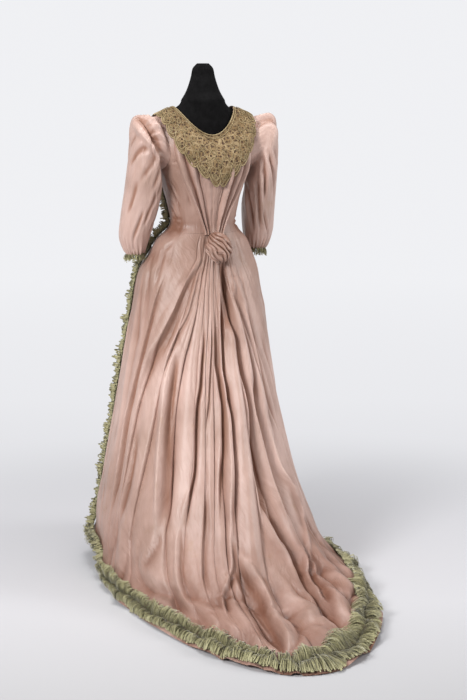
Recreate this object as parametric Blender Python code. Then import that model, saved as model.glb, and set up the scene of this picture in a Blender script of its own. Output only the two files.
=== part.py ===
"""Ball gown with a train, worn by a limbless dress form. Metres, +Z up.

The front faces -Y, the wearer's left is +X and the train runs back along +Y. The origin is on
the floor, under the middle of the waist, where the form's round base stands.

The gown is one smooth shell worked out from a table of level sections. Angles go round it in
degrees: 0 at centre front, 90 at the wearer's left side, 180 at centre back and -90 at the right.
Levels count down the section table, from 0 at the neckline to HEM at the hem, and may be
fractions of a row.
Each panel is a patch of that shell, turned into a wall. What lies on a panel is made from the
panel's own points, moved out.
"""

import math

import bpy
import numpy as np

# Wall and seam sizes
CLOTH = 0.0020
SEAM_GAP = 0.0004
LACE = 0.0016
REST_GAP = 0.0005

# Section table: a row for each level of the gown, from the neckline down to the hem.
# front, side and back are how far the section reaches from the axis, and z_front, z_side and
# z_back its height there. lean moves the section to the wearer's left, sweep carries the train's
# tip that way. narrow draws the hem in beside the feet and lift raises its forward half, so that
# the front clears the floor. front_seam, side_seam and back_seam are the seams' angles.
SECTION_COLUMNS = (
    "level", "z_front", "z_side", "z_back", "front", "side", "back", "lean", "sweep",
    "narrow", "lift", "front_seam", "side_seam", "back_seam",
)
SECTIONS = (
    ("neckline", 1.330, 1.450, 1.367, 0.086, 0.0975, 0.073, 0.000, 0.0, 0.0, 0.0, 36, 90, 140),
    ("collar", 1.300, 1.436, 1.340, 0.102, 0.1310, 0.095, 0.000, 0.0, 0.0, 0.0, 38, 90, 140),
    ("shoulder", 1.275, 1.416, 1.312, 0.113, 0.1640, 0.110, 0.000, 0.0, 0.0, 0.0, 40, 90, 139),
    ("blades", 1.253, 1.372, 1.286, 0.121, 0.1700, 0.117, 0.000, 0.0, 0.0, 0.0, 42, 90, 138),
    ("armhole", 1.235, 1.325, 1.262, 0.126, 0.1640, 0.119, 0.000, 0.0, 0.0, 0.0, 43, 90, 137),
    ("underarm", 1.218, 1.270, 1.235, 0.128, 0.1470, 0.116, 0.000, 0.0, 0.0, 0.0, 44, 90, 133),
    ("chest", 1.195, 1.215, 1.200, 0.120, 0.1280, 0.108, 0.000, 0.0, 0.0, 0.0, 46, 90, 130),
    ("ribs", 1.150, 1.158, 1.152, 0.101, 0.1130, 0.094, 0.000, 0.0, 0.0, 0.0, 48, 90, 128),
    ("waist", 1.098, 1.098, 1.098, 0.086, 0.1040, 0.085, 0.000, 0.0, 0.0, 0.0, 50, 90, 128),
    ("basque", 1.045, 1.045, 1.045, 0.120, 0.1470, 0.096, 0.004, 0.0, 0.0, 0.0, 51, 90, 130),
    ("hip", 1.000, 1.000, 0.997, 0.156, 0.1680, 0.112, 0.006, 0.0, 0.0, 0.0, 52, 89, 131),
    ("seat", 0.950, 0.950, 0.940, 0.180, 0.1910, 0.134, 0.012, 0.0, 0.0, 0.0, 52, 86, 126),
    ("thigh", 0.880, 0.880, 0.862, 0.200, 0.2010, 0.162, 0.016, 0.0, 0.0, 0.0, 52, 84, 117),
    ("upper_skirt", 0.795, 0.795, 0.770, 0.221, 0.2150, 0.190, 0.016, 0.0, 0.0, 0.0, 52, 82, 111),
    ("mid_thigh", 0.705, 0.705, 0.672, 0.241, 0.2290, 0.218, 0.018, 0.0, 0.0, 0.0, 52, 81, 106),
    ("knee", 0.610, 0.610, 0.568, 0.261, 0.2440, 0.248, 0.020, 0.002, 0.0, 0.0, 52, 80, 101),
    ("below_knee", 0.510, 0.510, 0.458, 0.281, 0.259, 0.286, 0.021, 0.006, 0.0, 0.0, 52, 79, 97),
    ("calf", 0.410, 0.410, 0.348, 0.302, 0.278, 0.334, 0.020, 0.012, 0.0, 0.000, 52, 78, 96),
    ("mid_calf", 0.325, 0.325, 0.250, 0.322, 0.296, 0.392, 0.018, 0.022, 0.0, 0.000, 52, 78, 95),
    ("lower_calf", 0.245, 0.245, 0.162, 0.346, 0.313, 0.452, 0.014, 0.034, 0.0, 0.004, 52, 77, 93),
    ("ankle", 0.175, 0.175, 0.096, 0.364, 0.330, 0.530, 0.010, 0.042, 0.010, 0.012, 52, 77, 92),
    ("instep", 0.115, 0.108, 0.054, 0.380, 0.346, 0.635, 0.005, 0.055, 0.045, 0.026, 52, 77, 92),
    ("ruche_top", 0.085, 0.060, 0.024, 0.390, 0.368, 0.790, 0.001, 0.068, 0.110, 0.040, 52, 77, 91),
    ("ruche_middle", 0.050, 0.030, 0.012, 0.396, 0.388, 0.890, -0.001, 0.076, 0.140, 0.050, 52, 77, 91),
    ("hem", 0.018, 0.006, 0.0045, 0.402, 0.406, 0.985, -0.003, 0.084, 0.165, 0.058, 52, 77, 91),
)
LEVEL = {row[0]: number for number, row in enumerate(SECTIONS)}
SHOULDER, UNDERARM = LEVEL["shoulder"], LEVEL["underarm"]
KNOT_LEVEL, HEM = LEVEL["basque"], LEVEL["hem"]
ARMHOLE_HALF_DEG = 33.0

# Valleys between the folds of the train: a row for each, from the wearer's left seam to the
# right one. The first columns are its place across the train, 1 at the left seam and -1 at the
# right, at the level named. top, middle and low are its depth below the knot, at the knee and
# at the ankle.
VALLEY_COLUMNS = (
    "valley", "hip", "thigh", "mid_thigh", "below_knee", "mid_calf", "ankle",
    "top", "middle", "low",
)
VALLEYS = (
    ("left_seam", 1.00, 1.00, 1.00, 1.00, 1.00, 1.00, 0.000, 0.000, 0.000),
    ("left_broad", 0.45, 0.62, 0.83, 0.87, 0.90, 0.91, 0.007, 0.010, 0.006),
    ("left_pocket", 0.33, 0.47, 0.64, 0.68, 0.76, 0.80, 0.002, 0.008, 0.012),
    ("left_deep", 0.24, 0.33, 0.48, 0.52, 0.545, 0.56, 0.004, 0.018, 0.022),
    ("left_pleat", 0.175, 0.24, 0.32, 0.33, 0.40, 0.45, 0.004, 0.011, 0.013),
    ("left_fine", 0.12, 0.175, 0.235, 0.245, 0.29, 0.34, 0.005, 0.010, 0.010),
    ("left_shade", 0.065, 0.11, 0.155, 0.175, 0.22, 0.26, 0.006, 0.010, 0.008),
    ("heart_fine", 0.01, 0.045, 0.075, 0.11, 0.15, 0.18, 0.003, 0.010, 0.015),
    ("heart_deep", -0.045, -0.02, 0.005, 0.037, 0.08, 0.11, 0.004, 0.010, 0.022),
    ("centre", -0.10, -0.095, -0.10, -0.10, -0.08, -0.05, 0.009, 0.020, 0.020),
    ("right_fine", -0.155, -0.16, -0.175, -0.19, -0.22, -0.26, 0.004, 0.012, 0.020),
    ("right_pleat", -0.215, -0.23, -0.27, -0.31, -0.36, -0.40, 0.006, 0.018, 0.022),
    ("right_short", -0.30, -0.32, -0.37, -0.42, -0.50, -0.56, 0.006, 0.013, 0.020),
    ("right_outer", -0.42, -0.46, -0.52, -0.57, -0.64, -0.71, 0.004, 0.012, 0.018),
    ("right_side", -0.65, -0.68, -0.72, -0.76, -0.82, -0.87, 0.002, 0.006, 0.012),
    ("right_seam", -1.00, -1.00, -1.00, -1.00, -1.00, -1.00, 0.000, 0.000, 0.000),
)
RIDGE_SHARE = 0.45
VALLEY_REACH = 0.42

# Gores of the train, each from one valley to another. They are seamed along the valleys.
GORE_COLUMNS = ("gore", "from_valley", "to_valley")
GORES = (
    ("train_left_side", "left_seam", "left_pocket"),
    ("train_left", "left_pocket", "left_pleat"),
    ("train_middle", "left_pleat", "centre"),
    ("train_right", "centre", "right_short"),
    ("train_right_side", "right_short", "right_seam"),
)

# Drape over the bodice back, gathered from the shoulders into the knot. half_width is how far
# its edge lies from centre back, ridge how high its folds stand.
DRAPE_COLUMNS = ("level", "half_width", "ridge")
DRAPE = (
    (1.6, 0.128, 0.0015),
    (2.4, 0.129, 0.0025),
    (3.2, 0.128, 0.0040),
    (4.1, 0.120, 0.0055),
    (5.0, 0.106, 0.0065),
    (6.0, 0.084, 0.0065),
    (7.0, 0.060, 0.0060),
    (7.8, 0.043, 0.0050),
    (8.45, 0.032, 0.0030),
)
DRAPE_LEVELS = (1.6, 2.0, 2.35, 2.9, 3.5, 4.1, 5.0, 6.3, 7.1, 8.0, 8.45)
DRAPE_FOLDS = 5
DRAPE_LIFT = 0.0012

# Knot at the small of the back: its middle, its half sizes, and the twist of its folds
KNOT_CENTRE = (-0.002, 0.107, 1.031)
KNOT_HALF = (0.043, 0.046, 0.045)
KNOT_LOBES = 5
KNOT_TWIST = 1.6
KNOT_TILT = 0.30
KNOT_SIDES = 18

# Sleeve: a row for each ring below the armhole, with its outer and inner point seen from the
# front, the place of its middle along Y, its half depth and how deep its gathers are.
SLEEVE_COLUMNS = ("outer_x", "outer_z", "inner_x", "inner_z", "middle_y", "half_depth", "gather")
SLEEVE = (
    (0.190, 1.4260, 0.1560, 1.273, 0.012, 0.067, 0.030),
    (0.218, 1.4290, 0.1590, 1.264, 0.014, 0.073, 0.040),
    (0.234, 1.4150, 0.1560, 1.246, 0.015, 0.075, 0.028),
    (0.240, 1.3700, 0.1500, 1.222, 0.013, 0.074, 0.016),
    (0.243, 1.3000, 0.1490, 1.190, 0.008, 0.072, 0.010),
    (0.248, 1.2100, 0.1500, 1.145, -0.012, 0.070, 0.012),
    (0.254, 1.1250, 0.1600, 1.090, -0.034, 0.064, 0.018),
    (0.257, 1.0620, 0.1690, 1.045, -0.046, 0.055, 0.030),
    (0.243, 1.0190, 0.1770, 1.016, -0.047, 0.041, 0.040),
    (0.231, 1.0030, 0.1830, 1.003, -0.046, 0.028, 0.000),
)
SLEEVE_SIDES = 20
SLEEVE_GATHERS = 10
SLEEVE_HEAD_SCALE = 1.11

# Collar of lace: how far down it reaches, in levels, at angles from the front round to the back.
COLLAR_COLUMNS = ("angle", "depth")
COLLAR = (
    (0, 2.60),
    (25, 2.25),
    (50, 1.90),
    (75, 1.72),
    (90, 1.70),
    (105, 1.74),
    (118, 2.02),
    (132, 2.65),
    (146, 3.60),
    (160, 4.60),
    (172, 5.40),
    (180, 5.85),
)
SCALLOPS = 20
COLLAR_ROWS = (0.0, 0.26, 0.52, 0.78, 1.0)
COLLAR_HOLE = 0.24
COLLAR_LIFT_AT_NECK = 0.0008
COLLAR_LIFT = 0.0032
COLLAR_LIFT_OVER_DRAPE = 0.0120

# Ruches: pleated bands of green silk that stand in waves on the cloth below them.
RUCHE_WALL = 0.0018
RUCHE_GAP = 0.0008
RUCHE_LEAN = 0.4
HEM_RUCHE_HIGH = 0.020
HEM_RUCHE_LEVELS = (22.0, 23.0, 23.93)
FRONT_RUCHE_START = 2.35
FRONT_RUCHE_ON_BODICE = {"width": 0.018, "high": 0.011}
FRONT_RUCHE_ON_SKIRT = {"width": 0.034, "high": 0.016}
CUFF_WAVES = 8
CUFF_COLUMNS = ("drop", "flare", "ripple")
CUFF_RUCHE = (
    (0.0000, 0.0016, 0.0006),
    (0.0070, 0.0050, 0.0028),
    (0.0140, 0.0066, 0.0032),
    (0.0190, 0.0062, 0.0030),
)
CUFF_LEAN = (0.002, -0.004)

# Dress form
FORM_GAP = 0.0035
FORM_SHOULDER_GAP = 0.0032
FORM_SEAT_GAP = 0.0140
NECK_COLUMNS = ("radius", "height")
NECK = (
    (0.0180, 1.5810),
    (0.0310, 1.5670),
    (0.0365, 1.5430),
    (0.0435, 1.5190),
    (0.0530, 1.4950),
    (0.0670, 1.4710),
)
NECK_Y = 0.004
FORM_SIDES = 24
FORM_LEVELS = (0.0, 0.7, 1.4, 2.0, 2.35, 2.9, 3.5, 4.1, 5.0, 6.3, 7.1, 8.0, 8.5, 9.2, 10.0, 11.0)
POLE_RADIUS = 0.016
POLE_SIDES = 16
BASE_RADIUS = 0.160
BASE_THICK = 0.014
BASE_SIDES = 30

ROSE = (0.640, 0.455, 0.385)
GREEN = (0.340, 0.345, 0.180)
LACE_GOLD = (0.420, 0.340, 0.190)
BLACK = (0.012, 0.012, 0.013)
STEEL = (0.350, 0.350, 0.360)

# Rows of the panels' grids, in levels
BODICE_LEVELS = (0.0, 0.7, 1.4, 2.0, 2.35, 2.9, 3.5, 4.1, 4.65, 5.0, 5.6, 6.3, 7.1, 8.0)
SKIRT_LEVELS = (8.5, 9.2, 10.0, 11.0, 12.5, 14.0, 16.0, 18.0, 19.2, 20.3, 21.3, 22.0, 23.0, 24.0)
COLUMNS_IN_FOLD = 4


def smooth(places, values, at):
    """Values read at places by a cubic through the table's points that never swings past them."""
    x, y, at = np.asarray(places, float), np.asarray(values, float), np.asarray(at, float)
    step = np.diff(x)
    rise = np.diff(y) / step
    slope = np.empty_like(y)
    slope[0], slope[-1] = rise[0], rise[-1]
    mean = (rise[:-1] * step[1:] + rise[1:] * step[:-1]) / (step[1:] + step[:-1])
    limit = 2.0 * np.minimum(np.abs(rise[:-1]), np.abs(rise[1:]))
    level = rise[:-1] * rise[1:] <= 0
    slope[1:-1] = np.where(level, 0.0, np.sign(mean) * np.minimum(np.abs(mean), limit))
    piece = np.clip(np.searchsorted(x, at) - 1, 0, len(step) - 1)
    width = step[piece]
    f = np.clip((at - x[piece]) / width, 0.0, 1.0)
    keep = 2 * f**3 - 3 * f**2 + 1
    return (
        keep * y[piece]
        + (1 - keep) * y[piece + 1]
        + (f**3 - 2 * f**2 + f) * width * slope[piece]
        + (f**3 - f**2) * width * slope[piece + 1]
    )


def column(table, names, name):
    """One named column of a table."""
    return [row[names.index(name)] for row in table]


def section(name, level):
    """A column of the section table at any level."""
    return smooth(range(len(SECTIONS)), column(SECTIONS, SECTION_COLUMNS, name), level)


def ease(value, low, high):
    """0 below low, 1 above high and a smooth step between them."""
    f = np.clip((value - low) / (high - low), 0.0, 1.0)
    return f * f * (3 - 2 * f)


def unit(vectors):
    return vectors / np.linalg.norm(vectors, axis=-1, keepdims=True)


def shell_point(angle, level):
    """A point of the gown's shell with no folds: half an ellipse in front and half behind."""
    angle, level = np.broadcast_arrays(np.asarray(angle, float), np.asarray(level, float))
    turn = np.radians(angle)
    sine, cosine = np.sin(turn), np.cos(turn)
    ahead = cosine > 0
    back = section("back", level)
    reach = np.where(ahead, section("front", level), back)
    end_z = np.where(ahead, section("z_front", level), section("z_back", level))
    y = -reach * cosine
    behind = np.where(ahead, 0.0, y / back)
    around = 180.0 - np.abs(180.0 - np.mod(angle, 360.0))
    away = (around - 84.0) / np.where(around < 84.0, 30.0, 14.0)
    side = section("side", level) * (1 - section("narrow", level) * np.exp(-(away**2)))
    x = side * sine + section("lean", level) + section("sweep", level) * behind**2
    z = section("z_side", level) * sine**2 + end_z * cosine**2
    z = z + section("lift", level) * (1 - ease(around, 74.0, 96.0))
    return np.stack([x, y, z], axis=-1)


def shell_normal(angle, level):
    """The outward direction of the shell, from neighbouring points."""
    angle, level = np.broadcast_arrays(np.asarray(angle, float), np.asarray(level, float))
    along = shell_point(angle + 0.5, level) - shell_point(angle - 0.5, level)
    above = shell_point(angle, np.maximum(level - 0.05, 0.0))
    below = shell_point(angle, np.minimum(level + 0.05, HEM))
    return unit(np.cross(along, above - below))


def valley_table(names, stations, level):
    """The values of a few columns of the valley table, read at the levels, a row a valley."""
    rows = []
    for row in VALLEYS:
        values = [row[VALLEY_COLUMNS.index(name)] for name in names]
        rows.append(smooth(stations, values, level))
    return np.stack(rows)


def train_angle(across, level):
    """The angle of a point of the train. across counts the valleys from the left seam."""
    across, level = np.broadcast_arrays(np.asarray(across, float), np.asarray(level, float))
    names = ("hip", "thigh", "mid_thigh", "below_knee", "mid_calf", "ankle")
    places = valley_table(names, [LEVEL[name] for name in names], level)
    number = np.clip(np.floor(across).astype(int), 0, len(VALLEYS) - 2)
    share = across - number
    here = np.take_along_axis(places, number[None], 0)[0]
    following = np.take_along_axis(places, number[None] + 1, 0)[0]
    place = here * (1 - share) + following * share
    return 180.0 - place * (180.0 - section("back_seam", level))


def train_rise(across, level):
    """How far the train's folds stand out from the shell: valleys dip, what lies between swells."""
    across, level = np.broadcast_arrays(np.asarray(across, float), np.asarray(level, float))
    stations = (LEVEL["hip"] + 0.5, LEVEL["knee"], LEVEL["ankle"])
    depths = valley_table(("top", "middle", "low"), stations, level)
    number = np.clip(np.floor(across).astype(int), 0, len(VALLEYS) - 2)
    share = across - number
    here = np.take_along_axis(depths, number[None], 0)[0]
    following = np.take_along_axis(depths, number[None] + 1, 0)[0]
    near = np.clip(1 - share / VALLEY_REACH, 0.0, 1.0) ** 2
    far = np.clip(1 - (1 - share) / VALLEY_REACH, 0.0, 1.0) ** 2
    swell = RIDGE_SHARE + 0.5 * ease(level, LEVEL["lower_calf"], LEVEL["instep"])
    ridge = swell * 0.5 * (here + following) * np.sin(np.pi * share) ** 2
    dip = (1 - RIDGE_SHARE) * (here * near + following * far)
    begin = ease(level, KNOT_LEVEL, KNOT_LEVEL + 1.4)
    end = 1 - 0.45 * ease(level, LEVEL["instep"], HEM)
    return (ridge - dip) * begin * end


def train_point(across, level):
    """A point of the train with its folds, kept just above the floor."""
    angle = train_angle(across, level)
    point = shell_point(angle, level)
    rise = train_rise(across, level)
    point = point + shell_normal(angle, level) * rise[..., None]
    point[..., 2] = np.maximum(point[..., 2], CLOTH + 0.0005)
    return point


def grid_normals(points, ring=False):
    """The outward direction at each point of a grid, from its neighbours in the grid."""
    down = np.gradient(points, axis=0)
    if ring:
        across = (np.roll(points, -1, axis=1) - np.roll(points, 1, axis=1)) / 2
    else:
        across = np.gradient(points, axis=1)
    return unit(np.cross(down, across))


def resample(grid, rows, columns):
    """Points of a grid at fractional rows and columns, straight between its own points."""
    r = np.clip(np.floor(rows).astype(int), 0, grid.shape[0] - 2)
    c = np.clip(np.floor(columns).astype(int), 0, grid.shape[1] - 2)
    fr, fc = (rows - r)[..., None], (columns - c)[..., None]
    upper = grid[r, c] * (1 - fc) + grid[r, c + 1] * fc
    lower = grid[r + 1, c] * (1 - fc) + grid[r + 1, c + 1] * fc
    return upper * (1 - fr) + lower * fr


def new_material(name, colour, roughness, metallic=0.0):
    material = bpy.data.materials.new(name)
    material.use_nodes = True
    shader = material.node_tree.nodes["Principled BSDF"]
    shader.inputs["Base Color"].default_value = (*colour, 1.0)
    shader.inputs["Roughness"].default_value = roughness
    shader.inputs["Metallic"].default_value = metallic
    material.diffuse_color = (*colour, 1.0)
    return material


def add_object(name, points, faces, material):
    mesh = bpy.data.meshes.new(name)
    mesh.from_pydata([tuple(p) for p in points], [], faces)
    mesh.materials.append(material)
    mesh.shade_smooth()
    mesh.set_sharp_from_angle(angle=math.radians(50))
    obj = bpy.data.objects.new(name, mesh)
    bpy.context.scene.collection.objects.link(obj)
    return obj


def wall(name, outer, inner, material, ring=False, holes=()):
    """A closed wall between two grids of points, rows by columns.

    Rows run down and columns to the right, seen from outside. A ring joins its last column to
    its first. holes are the (row, column) cells with an opening cut right through their middle.
    Both sides split a cell along the outer side's shorter diagonal, so that the wall keeps its
    thickness.
    """
    rows, columns = outer.shape[:2]
    points = [tuple(p) for p in outer.reshape(-1, 3)] + [tuple(p) for p in inner.reshape(-1, 3)]
    shift = rows * columns
    last = columns if ring else columns - 1
    right = np.roll(outer, -1, axis=1)
    falling = np.linalg.norm(right[1:] - outer[:-1], axis=-1)
    rising = np.linalg.norm(right[:-1] - outer[1:], axis=-1)
    first_diagonal = falling <= rising
    faces = []
    for r in range(rows - 1):
        for c in range(last):
            following = (c + 1) % columns
            a, b = r * columns + c, (r + 1) * columns + c
            d, e = (r + 1) * columns + following, r * columns + following
            corners = (a, b, d, e)
            if (r, c) in holes:
                start = len(points)
                for side in (0, shift):
                    cell = np.array([points[k + side] for k in corners])
                    middle = cell.mean(axis=0)
                    points.extend(tuple(middle + (p - middle) * 2 * COLLAR_HOLE) for p in cell)
                for k in range(4):
                    n = (k + 1) % 4
                    faces.append((corners[k], corners[n], start + n, start + k))
                    faces.append(
                        (corners[n] + shift, corners[k] + shift, start + 4 + k, start + 4 + n)
                    )
                    faces.append((start + k, start + n, start + 4 + n, start + 4 + k))
            else:
                pair = ((a, b, d), (a, d, e)) if first_diagonal[r, c] else ((a, b, e), (b, d, e))
                for corner in pair:
                    faces.append(corner)
                    faces.append(tuple(k + shift for k in reversed(corner)))
            if r == 0:
                faces.append((a, e, e + shift, a + shift))
            if r == rows - 2:
                faces.append((d, b, b + shift, d + shift))
            if not ring and c == 0:
                faces.append((b, a, a + shift, b + shift))
            if not ring and c == columns - 2:
                faces.append((e, d, d + shift, e + shift))
    return add_object(name, points, faces, material)


def closed_rings(name, rings, material):
    """A solid from rings of points, one below the other, closed by a fan at each end."""
    count, around = len(rings), len(rings[0])
    points = np.concatenate([*rings, [np.mean(rings[0], 0)], [np.mean(rings[-1], 0)]])
    top, bottom = count * around, count * around + 1
    faces = []
    for i in range(around):
        j = (i + 1) % around
        faces.append((top, i, j))
        faces.append((bottom, (count - 1) * around + j, (count - 1) * around + i))
        for r in range(count - 1):
            a, b = r * around + i, r * around + j
            faces.append((a, a + around, b + around, b))
    return add_object(name, points, faces, material)


def armhole_half(level):
    """Half of the armhole's width, in degrees, at a level: a rounded opening."""
    middle, reach = (SHOULDER + UNDERARM) / 2, (UNDERARM - SHOULDER) / 2
    inside = np.clip(1 - ((level - middle) / reach) ** 2, 0.0, 1.0)
    return ARMHOLE_HALF_DEG * np.sqrt(inside)


def seam_angles(name, levels):
    """The angle of a lengthwise seam. The side seam parts into the two edges of the armhole."""
    if name == "armhole_front":
        return section("side_seam", levels) - armhole_half(levels)
    if name == "armhole_back":
        return section("side_seam", levels) + armhole_half(levels)
    return section(name, levels)


def draw_in(points, gap=SEAM_GAP / 2):
    """The grid with its two side edges drawn in by half the gap of a seam."""
    points = points.copy()
    points[:, 0] += unit(points[:, 1] - points[:, 0]) * gap
    points[:, -1] += unit(points[:, -2] - points[:, -1]) * gap
    return points


def inner_grid(outer, edge_normals):
    """The inside of a panel. Its side edges keep to the shell's direction, as its neighbours' do."""
    normals = grid_normals(outer)
    normals[:, 0], normals[:, -1] = edge_normals
    inner = outer - normals * CLOTH
    inner[..., 2] = np.maximum(inner[..., 2], 0.0005)
    return inner


def shell_panel(name, start, end, count, levels, material):
    """A panel of the shell from one angle to the next. Returns its outer grid."""
    share = np.linspace(0.0, 1.0, count + 1)[None, :]
    angles = start[:, None] * (1 - share) + end[:, None] * share
    outer = shell_point(angles, levels[:, None])
    edges = shell_normal(start, levels), shell_normal(end, levels)
    wall(name, draw_in(outer), draw_in(inner_grid(outer, edges)), material)
    return outer


def build_gown(rose):
    """The princess panels from neckline to hem, the fitted centre back and the train."""
    levels = np.array(BODICE_LEVELS + SKIRT_LEVELS)
    front = seam_angles("front_seam", levels)
    hole_front = seam_angles("armhole_front", levels)
    hole_back = seam_angles("armhole_back", levels)
    back = seam_angles("back_seam", levels)
    middle = np.zeros_like(front)
    grids = {}
    plan = (
        ("front_left", middle, front),
        ("side_front_left", front, hole_front),
        ("side_back_left", hole_back, back),
        ("side_back_right", -back, -hole_back),
        ("side_front_right", -hole_front, -front),
        ("front_right", -front, middle),
    )
    for name, start, end in plan:
        grids[name] = shell_panel(name, start, end, 4, levels, rose)
    upper = np.array((*BODICE_LEVELS, 8.493))
    back = seam_angles("back_seam", upper)
    grids["centre_back"] = shell_panel("centre_back", back, 360.0 - back, 8, upper, rose)
    levels = np.array(SKIRT_LEVELS)
    across = np.linspace(0, len(VALLEYS) - 1, COLUMNS_IN_FOLD * (len(VALLEYS) - 1) + 1)
    outer = train_point(across[None, :], levels[:, None])
    edges = [shell_normal(train_angle(side, levels), levels) for side in (0, len(VALLEYS) - 1)]
    inner = inner_grid(outer, edges)
    valleys = [row[0] for row in VALLEYS]
    for name, first, last in GORES:
        start, stop = (valleys.index(valley) * COLUMNS_IN_FOLD for valley in (first, last))
        gore = slice(start, stop + 1)
        wall(name, draw_in(outer[:, gore]), draw_in(inner[:, gore]), rose)
    grids["train"] = outer
    return grids


def drape_place(levels, across):
    """Angles and levels of the drape's grid. across runs from -1 at its left edge to 1."""
    half = smooth(column(DRAPE, DRAPE_COLUMNS, "level"),
                  column(DRAPE, DRAPE_COLUMNS, "half_width"), levels)
    sine = -across * half / section("side", levels)
    return 180.0 - np.degrees(np.arcsin(sine))


def build_drape(rose):
    """The drape that hangs from the shoulders to the knot. Returns its outer grid."""
    levels = np.array(DRAPE_LEVELS)[:, None]
    ridge = smooth(column(DRAPE, DRAPE_COLUMNS, "level"),
                   column(DRAPE, DRAPE_COLUMNS, "ridge"), levels)
    across = np.linspace(-1.0, 1.0, 4 * DRAPE_FOLDS + 1)[None, :]
    angles = drape_place(levels, across)
    wave = 0.5 - 0.5 * np.cos(2 * np.pi * DRAPE_FOLDS * (across + 1) / 2)
    lift = DRAPE_LIFT + CLOTH + ridge * wave
    levels = np.broadcast_to(levels, angles.shape)
    outer = shell_point(angles, levels) + shell_normal(angles, levels) * lift[..., None]
    inner = outer - grid_normals(outer) * CLOTH
    wall("back_drape", outer, inner, rose)
    return outer


def build_knot(rose, drape, train):
    """The twisted knot: rings round a line that points back, with lobes that turn as they widen.

    Its underside follows the drape and the train, a small gap above them.
    """
    turn = np.linspace(0, 2 * np.pi, KNOT_SIDES, endpoint=False)
    below = []
    for grid, first in ((drape, drape.shape[0] - 4), (train, 0)):
        rows = np.linspace(first, first + 3, 25)[:, None]
        columns = np.linspace(0, grid.shape[1] - 1, 4 * grid.shape[1])[None, :]
        rows, columns = np.broadcast_arrays(rows, columns)
        below.append(resample(grid, rows, columns).reshape(-1, 3))
    below = np.concatenate(below)

    def ring(step, depth):
        lobe = 1 + 0.07 * math.sin(step * math.pi) * np.cos(KNOT_LOBES * turn + KNOT_TWIST * 2 * step)
        narrow = 1 - 0.22 * np.clip(-np.cos(turn), 0, 1) * step
        reach = math.sin(step * math.pi / 2) * lobe
        x = KNOT_CENTRE[0] + KNOT_HALF[0] * reach * narrow * np.sin(turn)
        z = KNOT_CENTRE[2] + KNOT_HALF[2] * reach * np.cos(turn)
        y = KNOT_CENTRE[1] + depth + KNOT_TILT * (KNOT_CENTRE[2] - z)
        return np.stack([x, y, z], axis=-1)

    def resting_y(points):
        apart = np.hypot(points[:, None, 0] - below[:, 0], points[:, None, 2] - below[:, 2])
        near = np.where(apart < 0.007, below[:, 1], -1.0).max(axis=1)
        return np.maximum(near, below[apart.argmin(axis=1), 1]) + REST_GAP

    rings = []
    for step in (0.16, 0.38, 0.60, 0.82, 1.0):
        points = ring(step, KNOT_HALF[1] * math.cos(step * math.pi / 2))
        points[:, 1] = np.maximum(points[:, 1], resting_y(points) + 0.005)
        rings.append(points)
    for step in (1.0, 0.80, 0.60, 0.38, 0.16):
        points = ring(step, 0.0)
        points[:, 1] = resting_y(points)
        rings.append(points)
    closed_rings("knot", rings, rose)


def armhole_ring(scale, lift):
    """Points round the left armhole, just outside its edge, from the shoulder over the back."""
    turn = np.linspace(0, 2 * np.pi, SLEEVE_SIDES, endpoint=False)
    middle, reach = (SHOULDER + UNDERARM) / 2, (UNDERARM - SHOULDER) / 2
    level = middle - reach * scale * np.cos(turn)
    angle = section("side_seam", level) + ARMHOLE_HALF_DEG * scale * np.sin(turn)
    return shell_point(angle, level) + shell_normal(angle, level) * lift


def sleeve_rings(scale):
    """The rings of the left sleeve, drawn in or let out by scale at the gathers."""
    turn = np.linspace(0, 2 * np.pi, SLEEVE_SIDES, endpoint=False)[:, None]
    rings = [armhole_ring(scale, REST_GAP)]
    for outer_x, outer_z, inner_x, inner_z, middle_y, half_depth, gather in SLEEVE:
        centre = np.array([(outer_x + inner_x) / 2, middle_y, (outer_z + inner_z) / 2])
        half = np.array([(outer_x - inner_x) / 2, 0.0, (outer_z - inner_z) / 2])
        spread = half * np.cos(turn) + np.array([0.0, half_depth, 0.0]) * np.sin(turn)
        rings.append(centre + spread * (1 + gather * np.cos(SLEEVE_GATHERS * turn)))
    return np.stack(rings)


def mirrored(grid):
    """The same grid on the wearer's right, its columns turned round to face outwards."""
    return (grid * np.array([-1.0, 1.0, 1.0]))[:, ::-1]


def build_sleeves(rose, green):
    """Both sleeves, open at the armhole and at the elbow, and the ruche at the end of each."""
    outer = sleeve_rings(SLEEVE_HEAD_SCALE)
    inner = outer - grid_normals(outer, ring=True) * CLOTH
    inner[0] = armhole_ring(SLEEVE_HEAD_SCALE - 0.03, REST_GAP)
    wall("sleeve_left", outer, inner, rose, ring=True)
    wall("sleeve_right", mirrored(outer), mirrored(inner), rose, ring=True)
    outer, inner = cuff_ruche(outer[-1])
    wall("cuff_ruche_left", outer, inner, green, ring=True)
    wall("cuff_ruche_right", mirrored(outer), mirrored(inner), green, ring=True)


def cuff_ruche(end):
    """The outer and inner grids of the ruche at the left sleeve's end, a little way outside it."""
    count = 2 * CUFF_WAVES
    turn = np.linspace(0, 2 * np.pi, count, endpoint=False)
    loop = np.linspace(0, 2 * np.pi, SLEEVE_SIDES + 1)
    closed = np.concatenate([end, end[:1]])
    rim = np.stack([np.interp(turn, loop, closed[:, k]) for k in range(3)], axis=-1)
    centre = rim.mean(axis=0)
    away = unit(rim - centre)
    wave = np.cos(CUFF_WAVES * turn)[:, None]
    rows = []
    outward = 0.25 + 0.75 * (0.5 + 0.5 * away[:, :1])
    for drop, flare, ripple in CUFF_RUCHE:
        row = rim + away * (0.0012 + (flare + ripple * wave) * outward)
        lean = drop / CUFF_RUCHE[-1][0]
        row += np.array([CUFF_LEAN[0] * lean, CUFF_LEAN[1] * lean, 0.0015 - drop])
        rows.append(row)
    outer = np.stack(rows) + away * (RUCHE_WALL + REST_GAP)
    return outer, outer - away * RUCHE_WALL


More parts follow.
